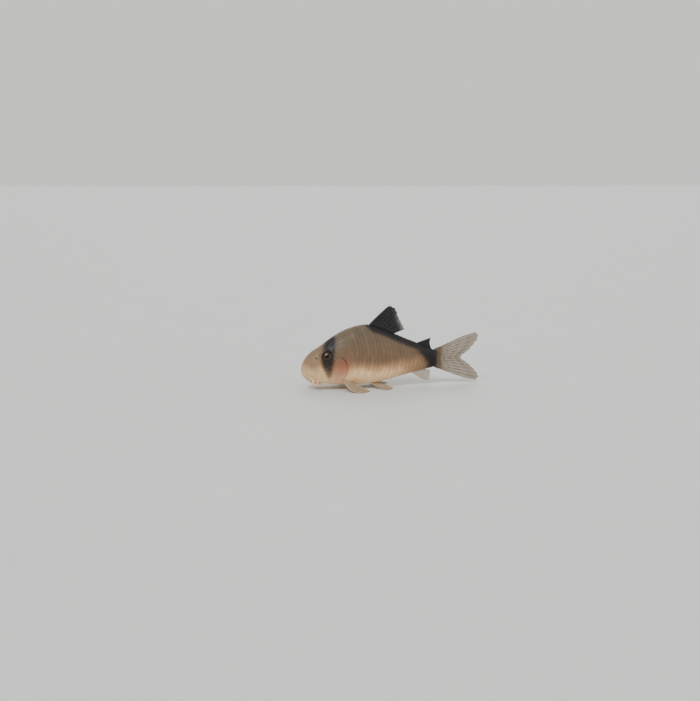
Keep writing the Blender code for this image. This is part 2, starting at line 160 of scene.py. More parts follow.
def bent_line(stations):
    """A smooth line in space through a few points, as a function of the share of its length."""
    stations = np.array(stations, float)
    steps = np.linalg.norm(np.diff(stations, axis=0), axis=1)
    shares = np.concatenate(([0.0], np.cumsum(steps))) / steps.sum()
    axes = [smooth_line(list(zip(shares, axis))) for axis in stations.T]
    return lambda share: np.stack([axis(share) for axis in axes], -1)


def closed_line(corners, count):
    """Points along a smooth closed outline through its corners."""
    corners = np.array(corners, float)
    place = np.arange(count) * len(corners) / count
    i, t = place.astype(int), (place % 1)[:, None]
    a, b, c, d = (corners[(i + step) % len(corners)] for step in (-1, 0, 1, 2))
    return b + 0.5 * t * (c - a + t * (2 * a - 5 * b + 4 * c - d + t * (3 * (b - c) + d - a)))


# ---------------- the body's surface
back_line, belly_line = soft_line(BACK_LINE), soft_line(BELLY_LINE)
half_width, widest_height = soft_line(HALF_WIDTH), soft_line(WIDEST_HEIGHT)
back_power, belly_power = soft_line(BACK_POWER), soft_line(BELLY_POWER)


def to_row(shares):
    """Row-frame metres from (along, out, up) shares of the standard length."""
    return np.asarray(shares, float) * STANDARD_LENGTH + (SNOUT_X, 0, 0)


def body_shares(points):
    """(along, out, up) shares of the standard length of some places, where out has no sign."""
    shares = (points - (SNOUT_X, 0, 0)) / STANDARD_LENGTH
    return shares[..., 0], np.abs(shares[..., 1]), shares[..., 2]


def body_point(along, angle):
    along, angle = matched(along, angle)
    full = (1 - np.clip(1 - along / SNOUT_ROUNDING, 0, 1) ** SNOUT_POWER) ** (1 / SNOUT_POWER)
    cosine, sine = np.cos(np.radians(angle)), np.sin(np.radians(angle))
    power = np.where(sine > 0, back_power(along), belly_power(along))
    reach = np.where(sine > 0, back_line(along), belly_line(along))
    middle = widest_height(along)
    out = np.sign(cosine) * half_width(along) * full * np.abs(cosine) ** (2 / power)
    up = SNOUT_HEIGHT + (middle + (reach - middle) * np.abs(sine) - SNOUT_HEIGHT) * full
    return to_row(np.stack((along, out, up), -1))


def body_normal(along, angle):
    step, turn = 1e-3, 0.5
    lengthwise = body_point(along + step, angle) - body_point(along - step, angle)
    around = body_point(along, angle + turn) - body_point(along, angle - turn)
    return unit(np.cross(around, lengthwise))


TABLE_ALONG, TABLE_ANGLE = np.linspace(0.002, 1.04, 260), np.linspace(-90, 90, 721)
TABLE_ROUND = np.linspace(0, 1, 361)


def round_tables():
    """How far round its side each (along, angle) place is, and the angle at each (along, round) place."""
    sections = body_point(TABLE_ALONG[:, None], TABLE_ANGLE[None, :])
    steps = np.linalg.norm(np.diff(sections, axis=1), axis=2)
    gone = np.concatenate((np.zeros((len(TABLE_ALONG), 1)), np.cumsum(steps, axis=1)), axis=1)
    shares = gone / gone[:, -1:]
    return shares, np.array([np.interp(TABLE_ROUND, row, TABLE_ANGLE) for row in shares])


ROUND_OF_ANGLE, ANGLE_OF_ROUND = round_tables()


def read_table(table, along, other, first, last):
    """Reads a table between its rows and columns."""
    row = (along - TABLE_ALONG[0]) / (TABLE_ALONG[1] - TABLE_ALONG[0])
    row = np.clip(row, 0, len(TABLE_ALONG) - 1.001)
    column = np.clip((other - first) / (last - first), 0, 1) * (table.shape[1] - 1.001)
    i, j = row.astype(int), column.astype(int)
    a, b = row - i, column - j
    near = table[i, j] * (1 - b) + table[i, j + 1] * b
    far = table[i + 1, j] * (1 - b) + table[i + 1, j + 1] * b
    return near * (1 - a) + far * a


def angle_at(along, share_round):
    along, share_round = matched(along, share_round)
    return read_table(ANGLE_OF_ROUND, along, share_round, 0, 1)


def round_at_height(along, height):
    """The share round the side where the body's surface is that high."""
    along, height = matched(along, height)
    middle = widest_height(along)
    reach = np.where(height > middle, back_line(along) - middle, middle - belly_line(along))
    angle = np.degrees(np.arcsin(np.clip((height - middle) / reach, -1, 1)))
    return read_table(ROUND_OF_ANGLE, along, angle, -90, 90)


# ---------------- markings
# The mask over the eye: its middle and half width, along, by height.
MASK_MIDDLE = ((0.05, 0.192), (0.13, 0.184), (0.21, 0.178), (0.28, 0.190), (0.34, 0.204))
MASK_REACH = ((0.06, 0.000), (0.085, 0.014), (0.15, 0.031), (0.21, 0.041), (0.29, 0.036), (0.36, 0.036))
# How faint the mask is at each height, from 0 for black to 1 for gone.
MASK_FAINT = (
    (0.060, 1.00), (0.078, 0.78), (0.100, 0.60), (0.122, 0.51), (0.145, 0.43), (0.167, 0.38), (0.189, 0.36),
    (0.218, 0.24), (0.260, 0.00),
)
# The dark of the back: how far it reaches down from the ridge, by along.
STRIPE_DEPTH = (
    (0.440, -0.040), (0.480, 0.020), (0.520, 0.044), (0.700, 0.048), (0.880, 0.046), (0.945, 0.060),
)
# The bar at the tail's root: its soft front edge, along, by height, and its rear edge.
BAR_FRONT = ((0.10, 0.944), (0.13, 0.932), (0.16, 0.926), (0.19, 0.910), (0.25, 0.858))
BAR_END, BAR_SOFT, BAR_END_SOFT = 1.003, 0.5, 0.9
mask_middle, mask_reach, mask_faint = map(smooth_line, (MASK_MIDDLE, MASK_REACH, MASK_FAINT))
stripe_depth, bar_front = smooth_line(STRIPE_DEPTH), smooth_line(BAR_FRONT)


def markings(points):
    """The skin's markings at some places, as named mesh attributes.

    dark is how far inside the black marks a place is, in millimetres. The rest run from 0 to 1."""
    along, out, up = body_shares(points)
    above_belly, height = up - belly_line(along), back_line(along) - belly_line(along)
    throat = blend(0.090, 0.055, out) * (up < 0.1)
    mask = mask_reach(up) - np.abs(along - mask_middle(up)) - 0.06 * throat
    stripe = np.minimum(stripe_depth(along) - (back_line(along) - up), 0.05)
    bar = BAR_SOFT * (along - bar_front(up))
    rear = np.minimum(np.maximum(stripe, bar), BAR_END_SOFT * (BAR_END - along))
    front = blend(0.22, 0.08, along)
    cream = 1 - blend(0.030, 0.180 + 0.09 * front + 0.045 * hump(along - 0.36, 0.17), above_belly)
    cream = cream * (1 - 0.35 * front)
    cream = cream * (1 - 0.64 * blend(0.52, 0.86, along)) * (1 - 0.75 * blend(0.80, 0.97, along))
    gill = 1.15 * hump(along - 0.262 - 0.36 * (up - 0.13), 0.080) * hump(up - 0.152, 0.094)
    gill = gill * blend(0.03, 0.08, out)
    lip = hump(along - 0.085, 0.035) * blend(0.075, 0.055, up) * blend(0.066, 0.050, out)
    return {
        "dark": np.maximum(mask, rear) * LENGTH_MM,
        "faint": mask_faint(up) * blend(0.40, 0.30, along),
        "cream": np.clip(cream, 0, 1),
        "snout": front,
        "gill": np.clip(gill, 0, 1),
        "lip": np.clip(lip, 0, 1),
        "back": blend(0.45, 0.95, above_belly / height),
    }


# ---------------- meshes
def grid_faces(rows, columns, wrap=False, start=0):
    """Quads over a grid of points stored row by row. Wrap joins the last column to the first."""
    i, j = np.meshgrid(np.arange(rows - 1), np.arange(columns if wrap else columns - 1), indexing="ij")
    k = (j + 1) % columns
    quads = np.stack((i * columns + j, i * columns + k, (i + 1) * columns + k, (i + 1) * columns + j), -1)
    return quads.reshape(-1, 4) + start


def spread(values, count):
    """An attribute's values at so many points. One number stands for them all."""
    return np.array(np.broadcast_to(np.ravel(values), count), "f")


def by_ring(values, around, ends):
    """The values of a closed shape's rings and of its two ends, as one value for each of its points."""
    return np.append(np.repeat(values, around), ends)


def link_object(name, data):
    made = bpy.data.objects.new(name, data)
    bpy.context.scene.collection.objects.link(made)
    return made


def mesh_piece(name, points, faces, finish, attributes, places=None, sharp=50):
    """A smooth-shaded object, kept over the floor. places are each point's spot on the OFBake map."""
    mesh = bpy.data.meshes.new(name)
    points = np.maximum(points, (-np.inf, -np.inf, 0.0))
    mesh.from_pydata(points.tolist(), [], [tuple(face) for face in faces])
    shape = bmesh.new()
    shape.from_mesh(mesh)
    bmesh.ops.recalc_face_normals(shape, faces=shape.faces)
    shape.to_mesh(mesh)
    shape.free()
    for key, values in attributes.items():
        data = mesh.attributes.new(key, "FLOAT", "POINT").data
        data.foreach_set("value", spread(values, len(mesh.vertices)))
    if places is not None:
        corners = np.empty(len(mesh.loops), int)
        mesh.loops.foreach_get("vertex_index", corners)
        spots = np.asarray(places, "f")[corners]
        mesh.uv_layers.new(name="OFBake").data.foreach_set("uv", spots.ravel())
    mesh.shade_smooth()
    mesh.set_sharp_from_angle(angle=math.radians(sharp))
    mesh.materials.append(finish)
    return link_object(name, mesh)


def show(piece, slot, *nodes):
    """Hangs a piece on the root and hides the CAD nodes that it stands for. Its slot, the finish it has, is
    not used.
    """
    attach(piece, "root")
    if nodes:
        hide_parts(*nodes)


class Joined:
    """Many small shapes gathered into one mesh, with their attributes and map places."""

    def __init__(self):
        self.points, self.faces, self.attributes, self.places, self.count = [], [], {}, [], 0

    def add(self, points, faces, attributes, places=None):
        self.faces += [tuple(int(v) + self.count for v in face) for face in faces]
        self.points.append(points)
        for key, values in attributes.items():
            self.attributes.setdefault(key, []).append(spread(values, len(points)))
        if places is not None:
            self.places.append(places)
        self.count += len(points)

    def piece(self, name, finish, sharp):
        attributes = {key: np.concatenate(values) for key, values in self.attributes.items()}
        places = np.concatenate(self.places) if self.places else None
        return mesh_piece(name, np.concatenate(self.points), self.faces, finish, attributes, places, sharp)


def slab(top, bottom):
    """The closed shape between two grids of points that share their outline's order."""
    rows, columns = top.shape[:2]
    count = rows * columns
    upper, lower = grid_faces(rows, columns), grid_faces(rows, columns, start=count)
    rim = [(0, j) for j in range(columns)] + [(i, columns - 1) for i in range(1, rows)]
    rim += [(rows - 1, j) for j in range(columns - 2, -1, -1)] + [(i, 0) for i in range(rows - 2, 0, -1)]
    order = [i * columns + j for i, j in rim]
    wall = [(b, a, a + count, b + count) for a, b in zip(order, order[1:] + order[:1])]
    return np.concatenate((top.reshape(-1, 3), bottom.reshape(-1, 3))), [*upper, *lower, *wall]


def closed_rings(rings, first, last):
    """Points and faces of a closed shape: loops of points in order, and the point that closes each end."""
    count, around = len(rings) * rings.shape[1], rings.shape[1]
    faces = [tuple(face) for face in grid_faces(len(rings), around, wrap=True)]
    end = count - around
    for j in range(around):
        faces += [(j, (j + 1) % around, count), (end + j, end + (j + 1) % around, count + 1)]
    return np.concatenate((rings.reshape(-1, 3), [first, last])), faces


def tube(path, radii, around, facing=(0.0, 0.3, 1.0), shape=None):
    """A closed tube along a path. shape changes each ring's radius by (ring number, turn), where a turn
    of 0 lies on the facing side."""
    ahead, turn = unit(np.gradient(path, axis=0)), turns(around)
    rings, across = [], np.array(facing, float)
    for i, centre in enumerate(path):
        across = unit(across - ahead[i] * (across @ ahead[i]))
        radius = radii[i] * (shape(i, turn) if shape else np.ones(around))
        rings.append(centre + radius[:, None] * circle(turn, across, np.cross(ahead[i], across)))
    return closed_rings(np.array(rings), path[0], path[-1])


# ---------------- materials
def srgb(red, green, blue):
    """A colour given 0 to 255, as the linear numbers that shaders use."""
    return (*[((c / 255 + 0.055) / 1.055) ** 2.4 for c in (red, green, blue)], 1.0)


BACK_TAN, FLANK_TAN, LOW_TAN = srgb(91, 77, 59), srgb(111, 87, 64), srgb(185, 144, 101)
CREAM, SNOUT_CREAM, GILL_PINK = srgb(252, 211, 160), srgb(129, 104, 78), srgb(142, 75, 60)
# The dark red below is painted shade in the mouth's slit, the groove behind the lower lip, the nostrils,
# pores and vent, tinted like the flesh inside the mouth and vent.
LIP_PINK, FOLD_RED_AND_SHADE, BARBEL_TAN = srgb(190, 132, 106), srgb(90, 44, 36), srgb(198, 162, 132)
DARK_BROWN, NEAR_BLACK, FIN_BLACK = srgb(50, 36, 26), srgb(14, 12, 12), srgb(13, 15, 16)
PUPIL_BLACK, IRIS_BROWN, IRIS_GOLD = srgb(3, 3, 4), srgb(24, 18, 13), srgb(110, 82, 44)
EYE_RIM_BLACK, SPINE_TAN, SPINE_BROWN = srgb(11, 9, 9), srgb(166, 136, 104), srgb(100, 82, 62)
FLOOR_GREY, FLOOR_PALE, ROOM_PALE = srgb(196, 197, 197), srgb(204, 205, 204), srgb(230, 229, 226)
# Fin finishes: the rays' pale and dark colours, the web's, and the web's alpha where it is pale and dark.
FIN_FINISHES = {
    "clear": (srgb(134, 112, 86), srgb(86, 68, 50), srgb(138, 122, 100), srgb(84, 70, 54), 0.55, 0.90),
    "black": (srgb(70, 62, 54), FIN_BLACK, srgb(92, 86, 78), FIN_BLACK, 0.55, 0.97),
    "pale": (srgb(168, 144, 114), srgb(112, 92, 70), srgb(172, 152, 126), srgb(112, 94, 74), 0.34, 0.75),
}
PUPIL_RADIUS = 0.335  # a share of the eye's radius


class Material:
    """A material in the making. A text given to one of its nodes is a mesh attribute's name."""

    def __init__(self, name, roughness=0.5, specular=0.4, coat=0.0, coat_roughness=0.1):
        """What is the same all over is set on the shader's own sockets."""
        self.made = bpy.data.materials.new(name)
        self.made.use_nodes = True
        self.tree = self.made.node_tree
        self.shader = self.tree.nodes["Principled BSDF"]
        self.shader.inputs["Roughness"].default_value = roughness
        self.shader.inputs["Specular IOR Level"].default_value = specular
        self.shader.inputs["Coat Weight"].default_value = coat
        self.shader.inputs["Coat Roughness"].default_value = coat_roughness

    def node(self, kind, inputs, **settings):
        made = self.tree.nodes.new(f"ShaderNode{kind}")
        for key, value in settings.items():
            setattr(made, key, value)
        for key, value in inputs.items():
            if isinstance(value, str):
                value = self.node("Attribute", {}, attribute_name=value).outputs["Fac"]
            if isinstance(value, bpy.types.NodeSocket):
                self.tree.links.new(value, made.inputs[key])
            else:
                made.inputs[key].default_value = value
        return made

    def place(self):
        return self.node("TexCoord", {}).outputs["Object"]

    def noise(self, scale, detail=3.0, roughness=0.55):
        """Cloudy noise in the object's own space. Scale is in clouds per metre."""
        inputs = {"Vector": self.place(), "Scale": scale, "Detail": detail, "Roughness": roughness}
        return self.node("TexNoise", inputs).outputs["Fac"]

    def cells(self, scale):
        """Distance to the nearest of many scattered spots in the object's own space."""
        return self.node("TexVoronoi", {"Vector": self.place(), "Scale": scale}).outputs["Distance"]

    def math_node(self, operation, a, b, c=0.0):
        return self.node("Math", {0: a, 1: b, 2: c}, operation=operation).outputs[0]

    def times(self, a, b):
        return self.math_node("MULTIPLY", a, b)

    def plus(self, a, b):
        return self.math_node("ADD", a, b)

    def scaled(self, value, factor, rise):
        return self.math_node("MULTIPLY_ADD", value, factor, rise)

    def ramp(self, value, low, high, to_low=0.0, to_high=1.0):
        limits = {"Value": value, "From Min": low, "From Max": high, "To Min": to_low, "To Max": to_high}
        return self.node("MapRange", limits, interpolation_type="SMOOTHSTEP").outputs["Result"]

    def mix(self, share, a, b, **settings):
        """Two colours mixed by a number from 0 to 1."""
        return self.node("Mix", {0: share, 6: a, 7: b}, data_type="RGBA", **settings).outputs[2]

    def done(self, height=None, depth=0.0, strength=1.0, **sockets):
        """Links what feeds the shader. A height of 0 to 1 gives a bump that is depth metres deep."""
        if height is not None:
            inputs = {"Height": height, "Distance": depth, "Strength": strength}
            sockets["Normal"] = self.node("Bump", inputs).outputs["Normal"]
        for key, value in sockets.items():
            self.tree.links.new(value, self.shader.inputs[key.replace("_", " ")])
        return self.made


def skin_material():
    """The fish's skin: tan over cream, pink at the gills, black mask and back, with fine speckles.

    Over bone it has a fine grain of tiny pits."""
    skin = Material("skin", specular=0.28, coat=0.10, coat_roughness=0.24)
    ramp, mix, times, plus, scaled = skin.ramp, skin.mix, skin.times, skin.plus, skin.scaled
    clouds, mottle, grain = skin.noise(420), skin.noise(2500, 4.0), skin.noise(7500, 2.0)
    specks = skin.noise(3600, 4.0, 0.65)
    wavy = scaled(clouds, 0.35, -0.17)
    colour = mix("back", FLANK_TAN, BACK_TAN)
    colour = mix(ramp("cream", 0.0, 0.55), colour, LOW_TAN)
    colour = mix(times("snout", 0.70), colour, SNOUT_CREAM)
    colour = mix(ramp(plus("cream", wavy), 0.30, 0.95), colour, CREAM)
    colour = mix(ramp(plus("gill", wavy), 0.10, 1.15, 0.0, 0.72), colour, GILL_PINK)
    colour = mix(times("lip", 0.55), colour, LIP_PINK)
    speckle = times(ramp(specks, 0.55, 0.68, 0.0, 0.34), ramp("cream", 0.1, 0.7, 1.0, 0.1))
    colour = mix(speckle, colour, DARK_BROWN)
    # Painted shade: the rim attribute browns the head's grooves, sutures and slits, the throat's fold, the
    # head plates' edges and the crease round the eye; on the scutes it is their own darker rear margins.
    colour = mix(ramp("rim", 0.0, 1.0, 0.0, 0.28), colour, DARK_BROWN)
    # Painted shade: dark red in the mouth's slit, the groove behind the lower lip, the nostrils, pores and
    # vent, partly the flesh's own red.
    colour = mix(ramp("fold", 0.0, 1.0, 0.0, 0.80), colour, FOLD_RED_AND_SHADE)

    # The black marks are ragged and brown at their edges, and thinned out where they are faint.
    ragged = plus("dark", scaled(mottle, 1.5, -0.75))
    kept = ramp(plus("faint", scaled(mottle, 0.7, -0.35)), 0.10, 1.0, 1.0, 0.0)
    colour = mix(times(ramp(ragged, -0.80, 0.40, 0.0, 0.92), kept), colour, DARK_BROWN)
    colour = mix(times(ramp(ragged, -0.25, 0.85), kept), colour, NEAR_BLACK)

    shade = times(ramp("tone", -1.0, 1.0, 0.93, 1.06), ramp(clouds, 0.2, 0.8, 0.92, 1.07))
    bright = skin.node("CombineColor", {0: shade, 1: shade, 2: shade}).outputs[0]
    colour = mix(1.0, colour, bright, blend_type="MULTIPLY")
    rough = scaled("bone", 0.07, ramp(mottle, 0.3, 0.7, 0.42, 0.53))
    pits = times(ramp(skin.cells(6500), 0.15, 0.5), "bone")
    return skin.done(scaled(pits, 0.55, grain), 0.03 * MM, 0.5, Base_Color=colour, Roughness=rough)


def dusky(fin, mottle, pale, dark, edge):
    """A fin's colour, from pale to dark to black as its dusk attribute grows, and how dark it is."""
    dusk = fin.plus("dusk", fin.scaled(mottle, 0.5, -0.25))
    share = fin.ramp(dusk, edge, 1 - edge)
    return fin.mix(fin.ramp(dusk, 1.0, 1.5), fin.mix(share, pale, dark), NEAR_BLACK), share


def ray_material(name, pale, dark):
    """Fin rays and spines: fine bone, banded where the ray has joints."""
    ray = Material(name, coat=0.1, coat_roughness=0.25)
    mottle = ray.noise(2600)
    colour, _ = dusky(ray, mottle, pale, dark, 0.15)
    rough = ray.ramp(mottle, 0.3, 0.7, 0.38, 0.55)
    return ray.done(ray.noise(9000), 0.02 * MM, 0.5, Base_Color=colour, Roughness=rough)


def web_material(name, pale, dark, pale_alpha, dark_alpha):
    """The thin web between fin rays, clearer where it is pale."""
    web = Material(name, specular=0.3, coat=0.1, coat_roughness=0.2)
    fine = web.noise(9000, 2.0)
    colour, share = dusky(web, web.noise(1500), pale, dark, 0.1)
    alpha = web.ramp(share, 0.0, 1.0, pale_alpha, dark_alpha)
    alpha = web.times(alpha, web.ramp(fine, 0.25, 0.75, 0.94, 1.06))
    rough = web.ramp(fine, 0.3, 0.7, 0.36, 0.48)
    return web.done(fine, 0.006 * MM, 0.35, Base_Color=colour, Roughness=rough, Alpha=alpha)


def fin_finishes(kind):
    """The materials of a fin's rays and of its web."""
    ray_pale, ray_dark, *web = FIN_FINISHES[kind]
    return ray_material(f"{kind}_ray", ray_pale, ray_dark), web_material(f"{kind}_web", *web)


def flesh_material():
    """Barbels: soft pale skin, tanner towards the tip."""
    flesh = Material("barbel_skin", specular=0.3, coat=0.08, coat_roughness=0.2)
    mottle = flesh.noise(3000)
    colour = flesh.mix(flesh.ramp(mottle, 0.3, 0.75, 0.0, 0.35), CREAM, LOW_TAN)
    colour = flesh.mix(flesh.ramp("dusk", 0.1, 0.8, 0.0, 0.7), colour, BARBEL_TAN)
    rough = flesh.ramp(mottle, 0.3, 0.7, 0.40, 0.52)
    return flesh.done(flesh.noise(6000), 0.02 * MM, 0.6, Base_Color=colour, Roughness=rough)


def eye_material():
    """A black pupil, a thin gold ring round it and a dark, gold-flecked iris, under a clear wet coat."""
    eye = Material("eyeball", specular=0.0, coat=0.55, coat_roughness=0.06)
    ramp, mix, times = eye.ramp, eye.mix, eye.times
    flecks = eye.noise(6500, 4.0, 0.7)
    outer = ramp(eye.scaled(flecks, 0.16, "radius"), 0.43, 0.52, 1.0, 0.0)
    ring = times(ramp("radius", PUPIL_RADIUS, PUPIL_RADIUS + 0.025), outer)
    ring = times(ring, ramp(flecks, 0.3, 0.6, 0.45, 1.0))
    band = times(ramp("radius", 0.44, 0.52), ramp("radius", 0.66, 0.76, 0.45, 0.0))
    flecked = times(ramp(flecks, 0.47, 0.66), band)
    colour = mix(ramp("radius", PUPIL_RADIUS, PUPIL_RADIUS + 0.035), PUPIL_BLACK, IRIS_BROWN)
    colour = mix(eye.math_node("MAXIMUM", ring, flecked), colour, IRIS_GOLD)
    colour = mix(ramp("radius", 0.68, 0.78), colour, EYE_RIM_BLACK)
    rough = eye.scaled(flecked, 0.15, ramp("radius", PUPIL_RADIUS, PUPIL_RADIUS + 0.035, 0.60, 0.38))
    return eye.done(Base_Color=colour, Roughness=rough)


# ---------------- eye sockets
# The right eye's middle and radius, and the way that it looks.
EYE_PLACE, EYE_RADIUS, EYE_AXIS = (0.182, 0.069, 0.236), 0.049, (-0.24, 0.90, 0.34)
# Shares of the eye's radius: the opening in the skin, how far out it lies, how far the eye rises over it and
# how far the skin's edge does.
EYE_OPENING, EYE_EDGE, EYE_BULGE, EYE_LIP = 0.80, 0.57, 0.25, 0.03
EYE_COLLAR, EYE_SNAP = 0.95 * MM, 0.045 * MM  # the skin that bends to the eye, and that moves to the edge
RIM_HEIGHT, RIM_AWAY, RIM_WIDTH = 0.07 * MM, 0.24 * MM, 0.19 * MM  # the raised rim round the opening
TUCK_DEPTH, TUCK_WIDTH = 0.75 * MM, 0.08 * MM  # how the skin drops behind the eye
# Painted shade along the crease where the skin meets the eye.
EYE_LINE_SHADE, EYE_LINE_WIDTH = 0.8, 0.07 * MM  # the dark line along the opening


def eye_parts():
    """The right eye's middle, the way it looks and its radius."""
    return to_row(EYE_PLACE), unit(np.array(EYE_AXIS)), EYE_RADIUS * STANDARD_LENGTH


def seat_eye(points):
    """Draws the skin to the eye in a low round rim, and hides it behind the eye. Also gives the distance
    outwards from the opening's edge."""
    centre, axis, radius = eye_parts()
    reach = points - centre
    depth = reach @ axis
    sideways = reach - depth[..., None] * axis
    away = np.linalg.norm(sideways, axis=-1)
    opening, edge = EYE_OPENING * radius, (EYE_EDGE + EYE_LIP) * radius
    near = (depth > -0.1 * radius) & (away < opening + EYE_COLLAR)
    snapped = near & (np.abs(away - opening) < EYE_SNAP)
    gap = np.where(snapped, 0.0, away - opening)
    collar = lerp(edge, depth, blend(0, EYE_COLLAR, gap)) + RIM_HEIGHT * hump(gap - RIM_AWAY, RIM_WIDTH)
    hidden = edge - TUCK_DEPTH * blend(0, TUCK_WIDTH, -gap)
    depth = np.where(near, np.where(gap >= 0, collar, hidden), depth)
    scale = (gap + opening) / np.maximum(away, 1e-9)
    seated = centre + depth[..., None] * axis + sideways * scale[..., None]
    return np.where(near[..., None], seated, points), np.where(near, gap, 1.0)


# ---------------- skin
# Each barbel's root (along, angle), and the line that it takes from there.
BARBELS = {
    "upper": ((0.070, -44.0), ((0.0, 0.0, 0.0), (0.010, 0.026, -0.016), (0.048, 0.042, -0.034))),
    "lower": ((0.094, -54.0), ((0.0, 0.0, 0.0), (0.024, 0.016, -0.012), (0.062, 0.026, -0.020))),
    "chin": ((0.106, -76.0), ((0.0, 0.0, 0.0), (0.020, 0.006, -0.014), (0.050, 0.010, -0.0175))),
}
HEAD_RINGS, BODY_RINGS, SKIN_ROUND = 246, 94, 143  # rings on the head and behind it, steps up one side
HEAD_END, FLESH_END = 0.36, 1.026  # where the head's rings end, and the flesh, inside the tail fin
# The stalk's end: its middle and half height, how much thinner it gets and how far its corners are drawn in.
TAIL_MIDDLE, TAIL_HALF, TAIL_THINNING, TAIL_PULL = 0.194, 0.062, 0.86, 0.022
SCUTE_START, COAT_DEPTH = 0.345, 0.12 * MM  # the skin lies that deep inside the body under the scutes
# The mouth, in millimetres: its slit behind the snout tip and that line's bow, its half width, and the
# lower lip's free edge.
MOUTH_X, MOUTH_BOW, MOUTH_REACH, LIP_REAR, LIP_BOW = 2.45, 0.13, 1.75, 4.15, 0.30
MOUTH_CORNER = (0.068, -60.0)  # (along, angle)
MOUND_WIDTH, MOUND_HEIGHT = 0.70, 0.52  # of the flesh round each barbel's root, in millimetres
RIDGE_WIDTH, RIDGE_HEIGHT = 0.42, 0.26  # of the ridges from the mouth's corner
NOSTRILS = ((0.102, 0.232, 0.21), (0.130, 0.253, 0.27))  # along, height, radius in millimetres
PORES = (
    (0.076, 0.205), (0.108, 0.186), (0.140, 0.168), (0.224, 0.232), (0.066, 0.140), (0.104, 0.118),
    (0.142, 0.100),
)
PORE_RADIUS, VENT_X, THROAT_X = 0.085, 27.3, 9.4  # in millimetres
SHIELD_HALF_WIDTH = ((0.20, 0.062), (0.30, 0.058), (0.36, 0.040), (0.44, 0.022), (0.50, 0.018))
SHIELD_SUTURES = (0.262, 0.338, 0.442)

# Plates of the head's side: how far they stand off the skin in millimetres, and their (along, height)
# corners in order.
GILL_COVER = (0.13, (
    (0.231, 0.221), (0.262, 0.232), (0.292, 0.222), (0.309, 0.190), (0.312, 0.150), (0.301, 0.106),
    (0.277, 0.073), (0.251, 0.070), (0.236, 0.098), (0.228, 0.140), (0.225, 0.184),
))
SHOULDER_PLATE = (0.08, (
    (0.302, 0.238), (0.314, 0.278), (0.330, 0.302), (0.350, 0.290), (0.362, 0.255), (0.374, 0.205),
    (0.384, 0.150), (0.385, 0.105), (0.368, 0.070), (0.336, 0.053), (0.302, 0.051), (0.288, 0.068),
    (0.305, 0.110), (0.315, 0.160), (0.311, 0.205),
))
NAPE_PLATE = (0.06, (
    (0.232, 0.250), (0.224, 0.278), (0.230, 0.306), (0.252, 0.322), (0.284, 0.338), (0.318, 0.340),
    (0.324, 0.314), (0.306, 0.284), (0.296, 0.254), (0.278, 0.240), (0.252, 0.240),
))
PLATE_AROUND, SEAM_STEPS = 120, 480
PLATE_SHARES = (0.0, 0.12, 0.30, 0.48, 0.64, 0.77, 0.86, 0.92, 0.96, 0.985, 1.0)
MAP_MARGIN = 0.01


def from_segment(points, start, end):
    """Distance of each point from a straight piece of line."""
    step = end - start
    share = np.clip((points - start) @ step / (step @ step), 0, 1)
    return np.linalg.norm(points - start - share[..., None] * step, axis=-1)


def barbel_mounds(points):
    """The fleshy ground of the barbels: a mound round each root, and ridges from the mouth's corner."""
    corner, rise = body_point(*MOUTH_CORNER), 0.0
    for kind, (root, sweep) in BARBELS.items():
        line = bent_line(np.array(sweep) * STANDARD_LENGTH)
        root, way_out = body_point(*root) + line(0.02), body_point(*root) + line(0.20)
        mound = hump(from_segment(points, root, way_out) / MM, MOUND_WIDTH)
        rise = np.maximum(rise, MOUND_HEIGHT * mound)
        if kind != "chin":
            ridge = hump(from_segment(points, corner, root) / MM, RIDGE_WIDTH)
            rise = np.maximum(rise, RIDGE_HEIGHT * ridge)
    return rise


def edge_distance(along, up, plate):
    """Distance from a plate's outline, in millimetres."""
    away = np.full(along.shape, 9.0)
    for edge in closed_line(plate[1], SEAM_STEPS):
        away = np.minimum(away, (along - edge[0]) ** 2 + (up - edge[1]) ** 2)
    return np.sqrt(away) * LENGTH_MM


def mouth_relief(x, y, under):
    """The lips' height, and how deep in the mouth's folds each place is, which sets the painted shade there.
    """
    wide = under * blend(MOUTH_REACH + 0.45, MOUTH_REACH - 0.15, y)
    gape = x - MOUTH_X - MOUTH_BOW * y**2
    ahead_of_rear = LIP_REAR - LIP_BOW * y**2 - 0.32 * hump(y, 0.30) - x
    pad = wide * blend(0.0, 0.50, gape) * blend(0.0, 0.16, ahead_of_rear)
    height = 0.18 * wide * hump(gape + 0.36, 0.26) - 0.42 * wide * hump(gape, 0.11) + 0.32 * pad
    height -= 0.10 * pad * hump(y, 0.16) + 0.10 * wide * hump(ahead_of_rear + 0.10, 0.12)
    height += 0.02 * np.sin(y * 10) * (pad + wide * hump(gape + 0.36, 0.26))
    return height, np.clip(wide * hump(gape, 0.12) + 0.5 * wide * hump(ahead_of_rear + 0.08, 0.10), 0, 1)


def pit_relief(x, z, angle):
    """The nostrils and pores of the head's side: their height, and how deep in them each place is, which sets
    the painted shade in them.
    """
    height, fold, above = 0.0, 0.0, angle > 10
    for place, level, radius in NOSTRILS:
        away = np.hypot(x - place * LENGTH_MM, z - level * LENGTH_MM) / radius
        pit = hump(away, 0.72) * above
        height += 0.13 * hump(away - 1.25, 0.42) * above - 0.30 * pit
        fold = np.maximum(fold, 0.8 * pit)
    for place, level in PORES:
        away = np.hypot(x - place * LENGTH_MM, z - level * LENGTH_MM)
        pit = hump(away, PORE_RADIUS)
        height += 0.02 * hump(away - 0.18, 0.08) - 0.09 * pit
        fold = np.maximum(fold, 0.35 * pit)
    return height, fold


